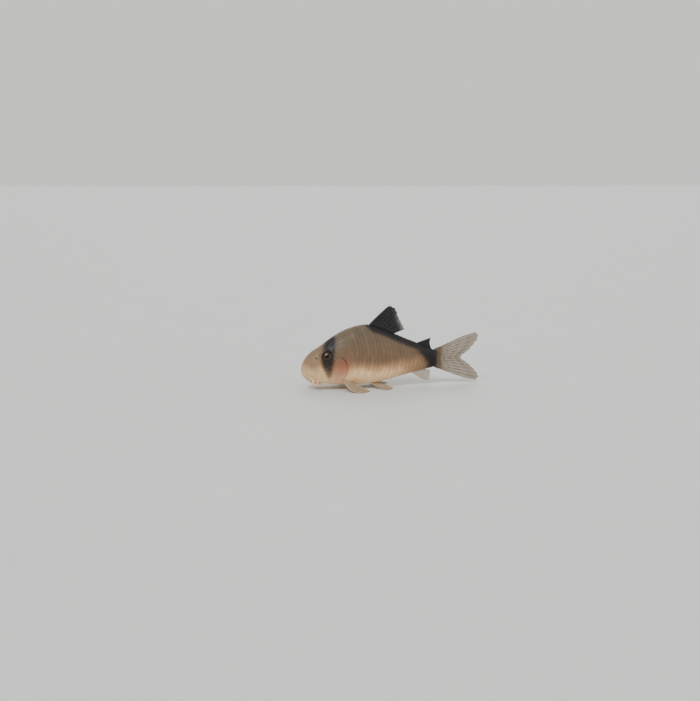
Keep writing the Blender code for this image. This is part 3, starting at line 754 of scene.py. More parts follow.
def shield_relief(along, out, angle):
    """The bony shield on top of the head, its sutures and the slit in its middle: height, and seams of
    painted shade along the sutures and in the slit.
    """
    inside = smooth_line(SHIELD_HALF_WIDTH)(along) - out
    on_top = blend(35, 55, angle) * blend(0.17, 0.20, along) * blend(0.486, 0.478, along)
    seam = hump(inside, 0.003) * (along > 0.2)
    for suture in SHIELD_SUTURES:
        seam = np.maximum(seam, hump(along - suture - 0.10 * out, 0.0026) * (inside > 0))
    slit = hump(out, 0.0034) * blend(0.198, 0.206, along) * blend(0.252, 0.244, along)
    height = on_top * (0.10 * blend(-0.003, 0.003, inside) - 0.07 * seam - 0.16 * slit)
    return height, on_top * np.maximum(0.6 * seam, slit)


def plate_relief(along, up, angle):
    """The gill slit and the grooves round the plates of the head's side: height, and seams of painted shade
    in them.
    """
    slit = hump(edge_distance(along, up, GILL_COVER) - 0.10, 0.13)
    slit = slit * blend(0.262, 0.285, along) * (angle > -75)
    height, seam = -0.22 * slit, 0.9 * slit
    for plate in (SHOULDER_PLATE, NAPE_PLATE, GILL_COVER):
        groove = hump(edge_distance(along, up, plate) - 0.03, 0.09) * (along < 0.4)
        height = height - 0.05 * groove
        seam = np.maximum(seam, 0.35 * groove)
    return height, seam


def belly_relief(x, y, under):
    """The vent and the fold across the throat: height, how deep in the vent a place is, and the fold, the
    last two setting painted shade in them.
    """
    vent = np.hypot((x - VENT_X) / 0.55, y / 0.32)
    throat = hump(x - (THROAT_X - 0.10 * y**2), 0.15) * under * blend(4.6, 3.6, y)
    height = under * (0.16 * hump(vent, 1.0) - 0.20 * hump(vent, 0.36)) - 0.17 * throat
    return height, 0.6 * under * hump(vent, 0.36), 0.7 * throat


def skin_relief(along, angle, points):
    """How far the skin stands off the smooth body in metres, and its folds, seams and bony parts. Its folds
    and seams set painted shade.

    The heights of its parts are in millimetres."""
    _, out, up = body_shares(points)
    x, y, z = (points[..., 0] - SNOUT_X) / MM, np.abs(points[..., 1]) / MM, points[..., 2] / MM
    under = blend(-20, -50, angle)
    mouth, mouth_shade = mouth_relief(x, y, under)
    pits, pit_shade = pit_relief(x, z, angle)
    shield, shield_seam_shade = shield_relief(along, out, angle)
    plates, plate_seam_shade = plate_relief(along, up, angle)
    belly, vent_shade, throat_shade = belly_relief(x, y, under)
    uneven = 0.02 * np.sin(x * 1.7 + 0.6 * np.sin(z * 1.3)) * np.sin(z * 1.5 + y) * (along < SCUTE_START)
    height = mouth + barbel_mounds(points) + pits + shield + plates + belly + uneven

    scuted = blend(SCUTE_START - 0.01, SCUTE_START + 0.015, along) * blend(1.0, 0.985, along)
    covered = np.where(along < 0.58, blend(-62, -52, angle), 1.0)
    return height * MM - COAT_DEPTH * scuted * covered, {
        # Painted shade in the mouth's slit and groove, the nostrils, pores and vent.
        "fold": np.maximum.reduce((mouth_shade, pit_shade, vent_shade)),
        # Painted shade in the head's grooves, sutures and slits and in the throat's fold.
        "rim": np.clip(np.maximum.reduce((shield_seam_shade, plate_seam_shade, throat_shade)), 0, 1),
        "bone": blend(0.155, 0.205, along) * blend(-48, -30, angle),
    }


def taper_tail(points):
    """Narrows the stalk's end to the thickness of the tail fin, and rounds its edge."""
    along, _, up = body_shares(points)
    points[..., 1] *= 1 - TAIL_THINNING * blend(0.985, FLESH_END, along)
    from_middle = (up - TAIL_MIDDLE) / TAIL_HALF
    points[..., 0] -= TAIL_PULL * STANDARD_LENGTH * blend(0.96, FLESH_END, along) * from_middle**2
    return points


def ring_places():
    """Where the skin's rings lie along the body, closest on the head, and its points up one side, closest
    at the mouth and the eye."""
    share = np.arange(1, HEAD_RINGS + 1) / HEAD_RINGS
    head = HEAD_END * share**2 / (share + 0.05) * 1.05
    body = lerp(HEAD_END, FLESH_END, np.arange(1, BODY_RINGS + 1) / BODY_RINGS)
    fine = np.linspace(0, 1, 2001)
    gone = np.cumsum(1 + 1.3 * hump(fine - 0.66, 0.17) + 0.7 * hump(fine - 0.05, 0.12))
    gone = (gone - gone[0]) / (gone[-1] - gone[0])
    return np.concatenate((head, body)), np.interp(np.linspace(0, 1, SKIN_ROUND + 1), gone, fine)


def make_skin(finish):
    stations, shares = ring_places()
    along = np.broadcast_to(stations[:, None], (len(stations), len(shares)))
    angle = angle_at(along, shares[None, :])
    points, normals = body_point(along, angle), body_normal(along, angle)
    relief, attributes = skin_relief(along, angle, points)
    points = points + relief[..., None] * normals
    points[:, (0, -1), 1] = 0
    points, from_eye = seat_eye(taper_tail(points))
    # Painted shade along the eye's opening, carried in the rim attribute.
    eye_shade_line = EYE_LINE_SHADE * hump(np.maximum(from_eye, 0.0), EYE_LINE_WIDTH)
    attributes["rim"] = np.maximum(attributes["rim"], eye_shade_line)
    left = slice(-2, 0, -1)  # the same points in the left side's order, from the back down
    rings = np.concatenate((points, points[:, left] * (1, -1, 1)), axis=1)
    tip, root = to_row((0, 0, SNOUT_HEIGHT)), rings[-1].mean(axis=0)
    points, faces = closed_rings(rings, tip, root)
    both = {**markings(points), "tone": 0.0}
    for key, values in attributes.items():
        both[key] = np.append(np.concatenate((values, values[:, left]), axis=1).ravel(), (0.0, 0.0))
    lengthwise = by_ring(stations / FLESH_END, rings.shape[1], (0.0, 1.0))
    crosswise = np.tile(np.concatenate((shares / 2, 1 - shares[left] / 2)), len(stations))
    places = np.stack((lengthwise, np.append(crosswise, (0.5, 0.5))), -1)
    places = MAP_MARGIN + (1 - 2 * MAP_MARGIN) * places
    piece = mesh_piece("skin", points, faces, finish, both, places, sharp=180)
    show(piece, "skin", "head", "shoulder", "trunk", "tail_stalk", "lower_lip")


# ---------------- scutes and head plates
# The height, by along, of the line where the two rows of scutes meet.
LATERAL_LINE = ((0.30, 0.250), (0.50, 0.243), (0.70, 0.226), (0.85, 0.208), (1.00, 0.194))
# Each row of scutes: how many, where it starts, along, how its edges slant and its first line of map cells.
UPPER_ROW, LOWER_ROW = (23, 0.352, -0.052, 0), (21, 0.372, -0.040, 3)
SCUTE_FRONT, SCUTE_END = 0.322, 1.000
SCUTE_LAP = 1.45  # a scute's length over its pitch
SCUTE_STEPS, SCUTE_SEED = (13, 25), 11  # points along and across each scute
MAP_COLUMNS, MAP_LINES, CELL_MARGIN = 8, 6, 0.04  # one cell of the map for each scute of a side
HEAD_MAP_COLUMNS = 5  # cells side by side on the map of the head's plates
# How far round the side, by along, the lower row ends.
LOWER_EDGE = ((0.34, 0.30), (0.44, 0.29), (0.54, 0.22), (0.62, 0.10), (0.69, 0.00), (1.00, 0.00))
PLATE_THICKNESS = 0.09 * MM
lateral_line, lower_edge = soft_line(LATERAL_LINE), smooth_line(LOWER_EDGE)


def plate_points(along, share_round, rise, side):
    """Points over the body's surface, rise millimetres off it."""
    angle = angle_at(along, share_round)
    points = body_point(along, angle) + (rise * MM)[..., None] * body_normal(along, angle)
    points[..., 1] = np.maximum(points[..., 1], 0.0)
    return taper_tail(points) * (1, side, 1)


def plate_attributes(points, tone, rim):
    return {**markings(points), "tone": tone, "rim": rim, "bone": 1.0, "fold": 0.0}


def scute_row(joined, side, row, chance):
    """One row of overlapping plates from the shoulder to the tail, meeting the other row in chevrons."""
    count, start, slant, first_line = row
    pitch = (SCUTE_END - start) / count
    t, w = np.meshgrid(*[np.linspace(0, 1, steps) for steps in SCUTE_STEPS])
    u, v = lerp(CELL_MARGIN, 1 - CELL_MARGIN, t), lerp(CELL_MARGIN, 1 - CELL_MARGIN, w)
    # The scutes' own darker rear margins.
    rim = np.tile(blend(0.80, 1.0, t).ravel(), 2)
    for number in range(count):
        tone, wobble = chance.uniform(-1, 1), chance.uniform(-1, 1)
        rear = start + pitch * (number + 1)
        corner = 0.45 * pitch * (hump(w, 0.07) + hump(1 - w, 0.05))
        bow = 0.20 * pitch * (1 - (2 * w - 1) ** 2)
        edge = slant * w**1.15 * (1.0 - 0.25 * blend(0.75, 1.0, rear))
        along = rear + edge + bow - corner - (1 - t) * (pitch * SCUTE_LAP - 0.5 * corner)
        along = along + 0.01 * pitch * wobble * np.sin(5 * w)
        shown = np.clip(along, SCUTE_FRONT, SCUTE_END + 0.004)
        line = round_at_height(shown, lateral_line(shown))
        if row == UPPER_ROW:
            share_round = lerp(line - 0.004, 0.998, w)
        else:
            share_round = lerp(line + 0.004, lower_edge(shown) + 0.002, w)
        rise = 0.15 * blend(0.0, 1.0, t) - 0.15 + 0.018 * np.sin(np.pi * w) + 0.01 * tone
        rise = rise - 0.05 * (hump(w, 0.04) + hump(1 - w, 0.04))
        top = plate_points(shown, share_round, rise, side)
        points, faces = slab(top, plate_points(shown, share_round, rise - PLATE_THICKNESS / MM, side))
        line_up, cell = divmod(number, MAP_COLUMNS)
        spots = np.stack(((cell + u) / MAP_COLUMNS, (first_line + line_up + v) / MAP_LINES), -1)
        spots = np.tile(spots.reshape(-1, 2), (2, 1))
        joined.add(points, faces, plate_attributes(points, tone, rim), spots)


def make_scutes(finish):
    for side, name in SIDES:
        joined, chance = Joined(), np.random.default_rng(SCUTE_SEED)
        for row in (UPPER_ROW, LOWER_ROW):
            scute_row(joined, side, row, chance)
        show(joined.piece(f"scutes_{name}", finish, sharp=40), "skin")


def head_plate(joined, side, plate, cell):
    """One plate of the head's side, thickest in the middle, with a rounded edge."""
    rise, corners = plate
    edge = closed_line(corners, PLATE_AROUND)
    middle, share = edge.mean(axis=0), np.array(PLATE_SHARES)[:, None, None]
    along, height = np.moveaxis(middle + share * (edge - middle), -1, 0)
    share = np.broadcast_to(share[..., 0], along.shape)
    top = rise * np.sqrt(1 - np.clip((share - 0.86) / 0.14, 0, 1) ** 2) + 0.04 * (1 - share**2) - 0.04
    top = top + 0.008 * np.sin(52 * share) * blend(0.15, 0.4, share)
    share_round = round_at_height(along, height)
    upper = plate_points(along, share_round, top, side)
    lower = plate_points(along, share_round, np.minimum(top - 0.10, -0.12), side)
    points, faces = closed_rings(np.concatenate((upper[1:], lower[:0:-1])), upper[0, 0], lower[0, 0])
    disc = (0.5 - CELL_MARGIN) * circle(turns(PLATE_AROUND), (1, 0), (0, 1))
    spots = (np.concatenate((share[1:], share[:0:-1]))[..., None] * disc).reshape(-1, 2)
    spots = np.concatenate((spots, np.zeros((2, 2)))) + (cell + 0.5, 0.5)
    # Painted shade round the plate's edge, where it meets the skin.
    rim = np.append(np.tile(0.55 * blend(0.90, 1.0, share[1:]).ravel(), 2), (0.0, 0.0))
    joined.add(points, faces, plate_attributes(points, 0.1, rim), spots / (HEAD_MAP_COLUMNS, 1))


def make_head_plates(finish):
    for side, name in SIDES:
        gill, others = Joined(), Joined()
        head_plate(gill, side, GILL_COVER, 0)
        show(gill.piece(f"gill_plate_{name}", finish, sharp=70), "skin", f"gill_cover_{name}")
        for cell, plate in enumerate((SHOULDER_PLATE, NAPE_PLATE)):
            head_plate(others, side, plate, cell)
        show(others.piece(f"head_plates_{name}", finish, sharp=70), "skin")


# ---------------- eyes
DOME_EDGE, BALL_RADIUS, BALL_START = 0.83, 0.97, 1.10  # shares of the eye's radius, and radians from its axis
EYE_AROUND, DOME_RINGS, BALL_RINGS = 64, 31, 14


def dome_height(radius):
    """How far out the eye's dome lies, at a share of the eye's radius from its axis."""
    curve = (EYE_OPENING**2 + EYE_BULGE**2) / (2 * EYE_BULGE)
    return EYE_EDGE + EYE_BULGE - curve + math.sqrt(curve**2 - radius**2)


def turned(profile, side):
    """A closed shape turned round the eye's axis. profile runs pole to pole as (radius, height) shares."""
    centre, axis, radius = eye_parts()
    across = unit(np.cross(axis, (0, 0, 1)))
    ring, profile = circle(turns(EYE_AROUND), across, np.cross(axis, across)), np.array(profile)
    rings = centre + radius * (profile[1:-1, 0, None, None] * ring + profile[1:-1, 1, None, None] * axis)
    poles = centre + radius * profile[[0, -1], 1][:, None] * axis
    points, faces = closed_rings(rings, *poles)
    return points * (1, side, 1), faces, by_ring(profile[1:-1, 0], EYE_AROUND, profile[[0, -1], 0])


def make_eyes():
    eye = eye_material()
    dome = [(radius, dome_height(radius)) for radius in np.linspace(0, DOME_EDGE, DOME_RINGS)]
    angles = np.linspace(BALL_START, math.pi, BALL_RINGS)
    back = [(BALL_RADIUS * math.sin(angle), BALL_RADIUS * math.cos(angle)) for angle in angles]
    for side, name in SIDES:
        points, faces, shares = turned(dome + back, side)
        ball = mesh_piece(f"eyeball_{name}", points, faces, eye, {"radius": shares}, sharp=70)
        show(ball, "eye", f"eye_{name}")


# ---------------- fins
RAY_STEP, RAY_JOINT = 0.085 * MM, 0.46 * MM  # the rays' fineness, and the length of their joints
RAY_TIP, RAY_SPREAD = 0.975, 0.31  # where rays end, and how far their outer tips fan, in ray spacings
RAY_NARROW, TWIG_NARROW = 0.30, 0.80  # how thick a ray is at the edge, and a branch beside a stem
JOINT_START, JOINT_GAP = 0.18, 0.74  # where the joints start along a ray, and the gap in each of them
JOINT_WAIST, JOINT_SHADE = 0.10, 0.25  # how much thinner and darker a ray is in the gap
RAY_AROUND, SMALL_RAY_AROUND, THORN_AROUND, SPINE_AROUND = 6, 8, 16, 36
RAY_STEPS_LEAST, SMALL_RAY_STEPS, THORN_STEPS, DORSAL_STEPS, PECTORAL_STEPS = 5, 24, 60, 140, 240
WEB_COLUMNS, WEB_ROWS = 8, 34  # the web's steps across each gap between rays, and along the rays
WEB_HALF, WEB_SWELL = (0.050, 0.022), 0.045  # in millimetres: half its thickness at root and edge, its swell
TOOTH_SIZE = 0.30  # of a spine's radius
ROOT_SINK, SPINE_GAP = 0.02, 0.16 * MM  # how deep roots lie in the back, and a spine's distance from its fin

# The fins of the middle plane: where the root starts and ends, along, then the rays' lengths and their tilts
# in degrees by the share across the fin, and how far its first and last ray bend.
DORSAL = dict(
    start=0.508, end=0.662, bends=(-6, -6),
    lengths=((0, 0.195), (0.15, 0.190), (0.5, 0.140), (1, 0.085)), tilts=((0, 49), (0.5, 40), (1, 24)),
)
ADIPOSE = dict(
    start=0.836, end=0.925, bends=(0, 0),
    lengths=((0, 0.108), (0.25, 0.074), (1, 0.020)), tilts=((0, 21), (0.4, 10), (1, -4)),
)
ANAL = dict(
    start=0.802, end=0.876, bends=(8, 8),
    lengths=((0, 0.105), (0.2, 0.128), (1, 0.062)), tilts=((0, -40), (0.5, -33), (1, -18)),
)
CAUDAL = dict(
    start=1.007, end=1.007, bends=(-22, 22), tilts=((0, 35), (0.5, 0), (1, -33)),
    lengths=((0, 0.316), (0.08, 0.330), (0.3, 0.255), (0.5, 0.178), (0.7, 0.256), (0.92, 0.335), (1, 0.320)),
)
CAUDAL_ROOT_HEIGHTS, CAUDAL_INSET = (0.252, 0.136), 0.012
# How many rays each fin has, and how thick they are at the root.
DORSAL_RAYS, ADIPOSE_RAYS, ANAL_RAYS = (7, 0.16 * MM), (5, 0.06 * MM), (7, 0.13 * MM)
CAUDAL_RAYS, PECTORAL_RAYS, PELVIC_RAYS = (14, 0.15 * MM), (9, 0.13 * MM), (6, 0.15 * MM)
# The radii of each spine at its root and towards its tip, and its number of teeth.
DORSAL_SPINE_RADII, DORSAL_TEETH = (0.46 * MM, 0.16 * MM), 19
PECTORAL_SPINE_RADII, PECTORAL_TEETH = (0.50 * MM, 0.17 * MM), 26
THORN_RADII = (0.33 * MM, 0.13 * MM)
# The short rays stacked at the root of each tail lobe, in millimetres: their number, their radii, how far
# the first stands off the fin and how much less each next one does, and how far apart they start.
SMALL_RAYS, SMALL_RAY_RADII = 4, (0.13, 0.07)
SMALL_RAY_RISE, SMALL_RAY_FALL, SMALL_RAY_PITCH = 0.40, 0.09, 0.25
# Where they start and end, as shares of the fin's outer rays, and how much longer each next one is.
SMALL_RAY_START, SMALL_RAY_END, SMALL_RAY_GROWTH = -0.05, 0.17, 0.075
# The paired fins of the right side, as (along, out, up): the leading line, the hind ray's root and the
# free edge from the leading line's tip to the hind ray's.
PECTORAL_SPINE = (
    (0.288, 0.096, 0.086), (0.300, 0.150, 0.056), (0.330, 0.194, 0.024), (0.370, 0.217, 0.008),
    (0.426, 0.232, 0.0064),
)
PECTORAL_HIND_ROOT = (0.338, 0.084, 0.066)
PECTORAL_EDGE = ((0.446, 0.212, 0.005), (0.476, 0.172, 0.005), (0.460, 0.142, 0.011), (0.424, 0.130, 0.025))
PELVIC_LEAD = ((0.488, 0.058, 0.058), (0.508, 0.080, 0.034), (0.540, 0.120, 0.016), (0.590, 0.160, 0.005))
PELVIC_HIND_ROOT = (0.516, 0.026, 0.050)
PELVIC_EDGE = ((0.604, 0.166, 0.005), (0.640, 0.140, 0.005), (0.656, 0.100, 0.006), (0.634, 0.060, 0.012))
FIN_SAG, FIN_LIFT = 0.17 * MM, 0.05 * MM  # how far a paired fin sags at its edge, and its least height


def median_fin(root, sink, start, end, lengths, tilts, bends):
    """A fin of the middle plane as a function of (share across its rays, share along a ray)."""
    length_at, tilt_at = smooth_line(lengths), smooth_line(tilts)

    def place(turn, share):
        turn, share = matched(turn, share)
        along = lerp(start, end, turn)
        length = length_at(turn) + abs(sink)
        heading = np.radians(tilt_at(turn) + lerp(*bends, turn) * share / 2)
        x = along + length * share * np.cos(heading)
        z = root(turn, along) + sink + length * share * np.sin(heading)
        return to_row(np.stack((x, np.zeros_like(x), z), -1))

    return place


def paired_fin(leading, hind_root, edge, side):
    """A right paired fin, or its mirror image, from its leading line to its hind ray and free edge."""
    margin, hind_root = bent_line(to_row(edge)), to_row(hind_root)
    tip, last = leading(1.0), margin(1.0)

    def place(turn, share):
        turn, share = matched(turn, share)
        turn, share = np.clip(turn, 0, 1)[..., None], share[..., None]
        points = lerp(leading(share[..., 0]), lerp(hind_root, last, share), turn)
        points = points + (margin(turn[..., 0]) - lerp(tip, last, turn)) * np.maximum(share, 0) ** 1.6
        points[..., 2] = np.maximum(points[..., 2] - FIN_SAG * share[..., 0] ** 2, FIN_LIFT)
        return points * (1, side, 1)

    return place


def fin_normal(place, turn, share):
    step = 1e-3
    turn = np.clip(turn, step, 1 - step)
    across = place(turn + step, share) - place(turn - step, share)
    ahead = place(turn, share + step) - place(turn, share - step)
    return unit(np.cross(across, ahead))


def ray_stems(spacing, split, start, simple):
    """A ray's stems, as the shares along it where each begins and ends, and its sideways shift there."""
    if simple:
        return [(start, RAY_TIP, 0.0, 0.0)]
    second, fork, twig = lerp(split, 1.0, 0.50), 0.61 * RAY_SPREAD * spacing, 0.39 * RAY_SPREAD * spacing
    stems = [(start, split, 0.0, 0.0)]
    for one in (-1, 1):
        stems.append((split, second, 0.0, fork * one))
        stems += [(second, RAY_TIP, fork * one, (fork + twig * two) * one) for two in (-1, 1)]
    return stems


def add_ray(place, joined, turn, spacing, thick, dusk, split, start, simple):
    """One fin ray: a jointed stem that forks twice on its way to the edge."""
    whole = np.linalg.norm(place(turn, 1.0) - place(turn, 0.0))
    for begin, end, shift_begin, shift_end in ray_stems(spacing, split, start, simple):
        share = np.linspace(begin, end, max(RAY_STEPS_LEAST, int(whole * (end - begin) / RAY_STEP)))
        gone = (share - begin) / (end - begin)
        path = place(turn + lerp(shift_begin, shift_end, np.sin(gone * np.pi / 2)), share)
        joint = ((share * whole / RAY_JOINT) % 1.0 > JOINT_GAP) & (share > JOINT_START)
        radii = thick * lerp(1.0, RAY_NARROW, np.clip(share, 0, 1)) * (1 - JOINT_WAIST * joint)
        if begin > start:
            radii = radii * TWIG_NARROW
        shade = dusk(turn, share) + JOINT_SHADE * joint
        joined.add(*tube(path, radii, RAY_AROUND), {"dusk": by_ring(shade, RAY_AROUND, shade[[0, -1]])})


def add_web(place, joined, rays, dusk, scallop, split, start, lead):
    """The web: a thin sheet that swells over the rays, whose free edge dips between them. Lead is the line
    of the spine that it joins, if there is one."""
    turn = np.linspace(0, 1, (rays - 1) * WEB_COLUMNS + 1)[None, :]
    phase = turn * (rays - 1) % 1.0
    reach = np.linspace(0, 1, WEB_ROWS)[:, None]
    share = start + (1 - scallop * np.sin(np.pi * phase) ** 2 - start) * reach
    turn = np.broadcast_to(turn, share.shape)
    centre, normal = place(turn, share), fin_normal(place, turn, share)
    if lead is not None:
        centre[:, 0] = lerp(centre[:, 0], lead(np.linspace(0, 0.97, WEB_ROWS)), 0.94)
    swell = hump(np.minimum(phase, 1 - phase), 0.11) * blend(split + 0.2, split, share)
    half = (lerp(*WEB_HALF, np.clip(share, 0, 1)) + WEB_SWELL * swell)[..., None] * MM
    shade = np.tile(dusk(turn, share).ravel(), 2)
    joined.add(*slab(centre + normal * half, centre - normal * half), {"dusk": shade})


def make_fin(name, place, bones, dusk, finishes, slot, simple_rays=(), scallop=0.03, split=0.45, start=0.0,
             lead=None, extra=None):
    """A whole fin as two pieces: its rays, and the web that carries them. bones are how many rays it has
    and how thick they are."""
    web, stems = Joined(), Joined()
    (rays, thick), (ray_finish, web_finish) = bones, finishes
    add_web(place, web, rays, dusk, scallop, split, start, lead)
    spacing = 1 / (rays - 1)
    for number in range(rays):
        simple = number in simple_rays
        width, inset = (thick * 1.2, 0.0) if simple else (thick, RAY_SPREAD * spacing)
        turn = np.clip(number * spacing, inset, 1 - inset)
        add_ray(place, stems, turn, spacing, width, dusk, split, start, simple)
    if extra:
        extra(stems)
    show(web.piece(f"{name}_web", web_finish, sharp=70), slot, name)
    show(stems.piece(f"{name}_rays", ray_finish, sharp=70), slot)


def spine_bone(path, radii, behind, teeth):
    """A bony spine with fine ridges and a toothed rear edge, that narrows to a point."""
    share = np.linspace(0, 1, len(path))
    saw = np.where((share > 0.22) & (share < 0.92), 1 - (share * teeth % 1.0), 0.0)
    taper = round_end(np.clip((share - 0.76) / 0.24, 0, 1), 1.5, 0.01)

    def shape(i, turn):
        ridges = 1 + (0.055 * np.cos(turn * 9) + 0.012 * math.sin(70 * share[i])) * (1 - share[i] ** 4)
        flat = 1 - 0.14 * np.sin(turn) ** 2
        return ridges * flat * 0.95 + TOOTH_SIZE * saw[i] * np.clip(np.cos(turn), 0, 1) ** 8

    return tube(path, lerp(*radii, share) * taper, SPINE_AROUND, behind, shape)


def on_back(_, along):
    return back_line(along)


def on_belly(_, along):
    return belly_line(along)


def on_tail(turn, _):
    return lerp(*CAUDAL_ROOT_HEIGHTS, turn)


def make_dorsal_fin(black):
    fin = median_fin(on_back, -ROOT_SINK, **DORSAL)
    share = np.linspace(0, 1, DORSAL_STEPS)
    ahead = unit(fin(0, share + 0.01) - fin(0, share - 0.01))
    forward = np.stack((-ahead[:, 2], ahead[:, 1], ahead[:, 0]), -1)
    path = fin(0, share) + forward * (lerp(*DORSAL_SPINE_RADII, share) + SPINE_GAP)[:, None]

    def dusk(turn, share):
        return 1.25 - 0.75 * turn * share - 0.45 * blend(0.55, 1.0, share)

    make_fin("dorsal_fin", fin, DORSAL_RAYS, dusk, black, "dark_fin", lead=bent_line(path[::10]))
    shape = spine_bone(path, DORSAL_SPINE_RADII, (1, 0, -0.5), DORSAL_TEETH)
    spine = mesh_piece("dorsal_spine_bone", *shape, black[0], {"dusk": 0.95})
    show(spine, "dark_fin", "dorsal_spine")


def make_adipose_fin(black):
    """The small fin of the back, behind a thorn."""
    fin = median_fin(on_back, -ROOT_SINK, **ADIPOSE)

    def thorn(stems):
        share = np.linspace(0.0, 1.0, THORN_STEPS)
        radii = lerp(*THORN_RADII, share) * round_end(share, 12, 0.02)
        stems.add(*tube(fin(0.02, share), radii, THORN_AROUND), {"dusk": 1.0})

    def dusk(turn, _):
        return 1.1 - 0.3 * turn

    make_fin(
        "adipose_fin", fin, ADIPOSE_RAYS, dusk, black, "dark_fin", range(ADIPOSE_RAYS[0]),
        scallop=0.01, extra=thorn,
    )


def make_anal_fin(pale):
    def dusk(turn, share):
        return 0.18 + 0.10 * np.sin(11 * share + 3 * turn)

    make_fin("anal_fin", median_fin(on_belly, ROOT_SINK, **ANAL), ANAL_RAYS, dusk, pale, "fin_web", (0,))


def make_caudal_fin(clear):
    """The forked tail fin, with short stiff rays stacked along the root of each lobe."""
    fin = median_fin(on_tail, 0.0, **CAUDAL)

    def narrowed(turn, share):
        return fin(lerp(CAUDAL_INSET, 1 - CAUDAL_INSET, turn), share)

    def dusk(turn, share):
        middle = hump(turn - 0.5, 0.28)
        return 0.16 + 0.42 * blend(0.34, 0.0, share) + 0.16 * middle + 0.10 * np.sin(26 * share)

    def small_ray(stems, edge, sign, number):
        gone = np.linspace(0, 1, SMALL_RAY_STEPS)
        share = lerp(SMALL_RAY_START, SMALL_RAY_END + SMALL_RAY_GROWTH * number, gone)
        path = fin(edge, share)
        rise = SMALL_RAY_RISE - SMALL_RAY_FALL * number
        path[:, 2] += sign * rise * MM * blend(1.0, 0.0, share / share[-1])
        path[:, 0] -= SMALL_RAY_PITCH * (SMALL_RAYS - 1 - number) * MM
        radii = lerp(*SMALL_RAY_RADII, gone) * round_end(gone, 4, 0.04) * MM
        shade = by_ring(0.3 + 0.45 * blend(0.30, 0.0, share), SMALL_RAY_AROUND, (1.0, 0.4))
        stems.add(*tube(path, radii, SMALL_RAY_AROUND), {"dusk": shade})

    def small_rays(stems):
        for edge, sign in ((0.0, 1), (1.0, -1)):
            for number in range(SMALL_RAYS):
                small_ray(stems, edge, sign, number)

    make_fin(
        "caudal_fin", narrowed, CAUDAL_RAYS, dusk, clear, "fin_web", (0, CAUDAL_RAYS[0] - 1),
        scallop=0.02, split=0.36, start=-0.12, extra=small_rays,
    )


def make_paired_fins(pale, bone):
    share = np.linspace(0, 1, PECTORAL_STEPS)
    radii = lerp(*PECTORAL_SPINE_RADII, share)
    path = to_row(bent_line(PECTORAL_SPINE)(share))
    path[:, 2] = np.maximum(path[:, 2] - 0.10 * MM * blend(0.3, 0.7, share), radii)
    ahead = unit(np.gradient(path, axis=0))
    behind = to_row(PECTORAL_EDGE[-1]) - path
    behind = unit(behind - ahead * np.sum(behind * ahead, axis=1, keepdims=True))
    spine_line = bent_line(path[::8])
    pectoral_lead = bent_line((path + behind * (radii + SPINE_GAP)[:, None])[::8])
    pelvic_lead = bent_line(to_row(PELVIC_LEAD))

    def dusk(_, share):
        return 0.12 + 0.14 * share

    for side, name in SIDES:
        mirror = np.array((1, side, 1))
        make_fin(
            f"pectoral_fin_{name}", paired_fin(pectoral_lead, PECTORAL_HIND_ROOT, PECTORAL_EDGE, side),
            PECTORAL_RAYS, dusk, pale, "fin_web", split=0.42,
            lead=lambda share, mirror=mirror: spine_line(share) * mirror,
        )
        shape = spine_bone(path * mirror, PECTORAL_SPINE_RADII, behind[0] * mirror, PECTORAL_TEETH)
        spine = mesh_piece(f"pectoral_spine_bone_{name}", *shape, bone, {"dusk": 0.25})
        show(spine, "spine", f"pectoral_spine_{name}")
        pelvic = paired_fin(pelvic_lead, PELVIC_HIND_ROOT, PELVIC_EDGE, side)
        make_fin(f"pelvic_fin_{name}", pelvic, PELVIC_RAYS, dusk, pale, "fin_web", (0,), split=0.40)


# ---------------- barbels
BARBEL_RADII, BARBEL_AROUND = (0.25 * MM, 0.085 * MM), 16


def make_barbels():
    flesh, share = flesh_material(), np.linspace(0, 1, 90)
    dusk = {"dusk": by_ring(share, BARBEL_AROUND, (0.0, 1.0))}
    settle = 0.46 * blend(0.10, 0.50, share) - 0.70 * blend(0.40, 0.0, share)
    flare = (1 + 0.85 * blend(0.36, 0.04, share)) * (1 + 0.02 * np.sin(share * 170))
    radii = lerp(*BARBEL_RADII, share) * flare * round_end(share, 16, 0.03)
    for kind, (root, sweep) in BARBELS.items():
        line = bent_line(np.array(sweep) * STANDARD_LENGTH)
        path = body_point(*root) + line(share) + body_normal(*root) * settle[:, None] * MM
        for side, name in SIDES:
            shape = tube(path * (1, side, 1), radii, BARBEL_AROUND)
            piece = mesh_piece(f"feeler_{kind}_{name}", *shape, flesh, dusk, sharp=80)
            show(piece, "lip_skin", f"barbel_{kind}_{name}")


# ---------------- camera, floor and light
CAMERA_AZIMUTH, CAMERA_DROP = -10.0, 10.14  # degrees round the fish from its left side, and downwards
CAMERA_DEPTH = 285 * MM  # along the view to the floor under the dorsal fin
CAMERA_LENS, SENSOR = 47.8, 36.0
CAMERA_NEAR, CAMERA_FAR = 0.005, 50  # in metres
FRAME_PIXELS = (700, 701)
AIM_PIXEL, AIM_ALONG = (368.0, 386.2), 0.49  # where the floor under that place shows in the frame
FLOOR_REACH, ROOM_STRENGTH = 30.0, 1.12  # metres each way, and the brightness of the room
LAMPS = (  # name, the side that it shines from, strength and softness in degrees
    ("key", (-0.5, -0.6, 1.0), 1.9, 22),
    ("fill", (0.7, -0.6, 0.45), 0.50, 50),
    ("back", (0.15, 0.8, 0.75), 0.95, 35),
)


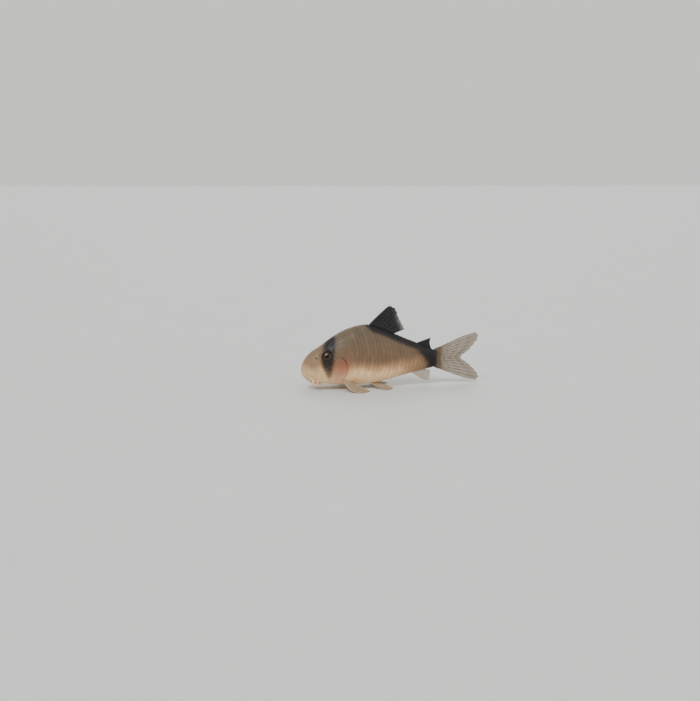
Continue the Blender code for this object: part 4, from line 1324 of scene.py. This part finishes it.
def make_camera():
    data = bpy.data.cameras.new("camera")
    data.lens, data.sensor_width = CAMERA_LENS, SENSOR
    data.clip_start, data.clip_end = CAMERA_NEAR, CAMERA_FAR
    azimuth, drop = math.radians(CAMERA_AZIMUTH), math.radians(CAMERA_DROP)
    back = Vector((math.sin(azimuth) * math.cos(drop), -math.cos(azimuth) * math.cos(drop), math.sin(drop)))
    right = Vector((0, 0, 1)).cross(back).normalized()
    up = back.cross(right)
    scale = SENSOR / CAMERA_LENS / max(FRAME_PIXELS)
    across = (AIM_PIXEL[0] - FRAME_PIXELS[0] / 2) * scale
    down = (AIM_PIXEL[1] - FRAME_PIXELS[1] / 2) * scale
    aim = Vector(to_row((AIM_ALONG, 0, 0)))
    camera = link_object("camera", data)
    camera.location = aim - (right * across - up * down - back) * CAMERA_DEPTH
    camera.rotation_mode = "QUATERNION"
    camera.rotation_quaternion = back.to_track_quat("Z", "Y")
    bpy.context.scene.camera = camera


def make_light(name, side, strength, softness):
    """A wide, soft lamp far off on one side of the fish."""
    data = bpy.data.lights.new(name, "SUN")
    data.energy, data.angle = strength, math.radians(softness)
    lamp = link_object(name, data)
    lamp.location = side
    lamp.rotation_mode = "QUATERNION"
    lamp.rotation_quaternion = Vector(side).to_track_quat("Z", "Y")


def make_studio():
    """A pale floor, a pale room and three soft lights."""
    corners = [(x * FLOOR_REACH, y * FLOOR_REACH, 0) for x, y in ((-1, -1), (1, -1), (1, 1), (-1, 1))]
    mesh = bpy.data.meshes.new("floor")
    mesh.from_pydata(corners, [], [(0, 1, 2, 3)])
    finish = Material("floor", roughness=0.7, specular=0.25)
    mesh.materials.append(finish.done(Base_Color=finish.mix(finish.noise(60), FLOOR_GREY, FLOOR_PALE)))
    floor = link_object("floor", mesh)

    world = bpy.data.worlds.new("studio")
    world.use_nodes = True
    room = world.node_tree.nodes["Background"]
    room.inputs["Color"].default_value = ROOM_PALE
    room.inputs["Strength"].default_value = ROOM_STRENGTH
    bpy.context.scene.world = world
    for lamp in LAMPS:
        make_light(*lamp)


# ---------------- the fish
def make_fish():
    skin = skin_material()
    clear, black, pale = fin_finishes("clear"), fin_finishes("black"), fin_finishes("pale")
    make_skin(skin)
    make_scutes(skin)
    make_head_plates(skin)
    make_eyes()
    make_dorsal_fin(black)
    make_adipose_fin(black)
    make_anal_fin(pale)
    make_caudal_fin(clear)
    make_paired_fins(pale, ray_material("spine_bone", SPINE_TAN, SPINE_BROWN))
    make_barbels()


make_camera()
make_studio()
make_fish()
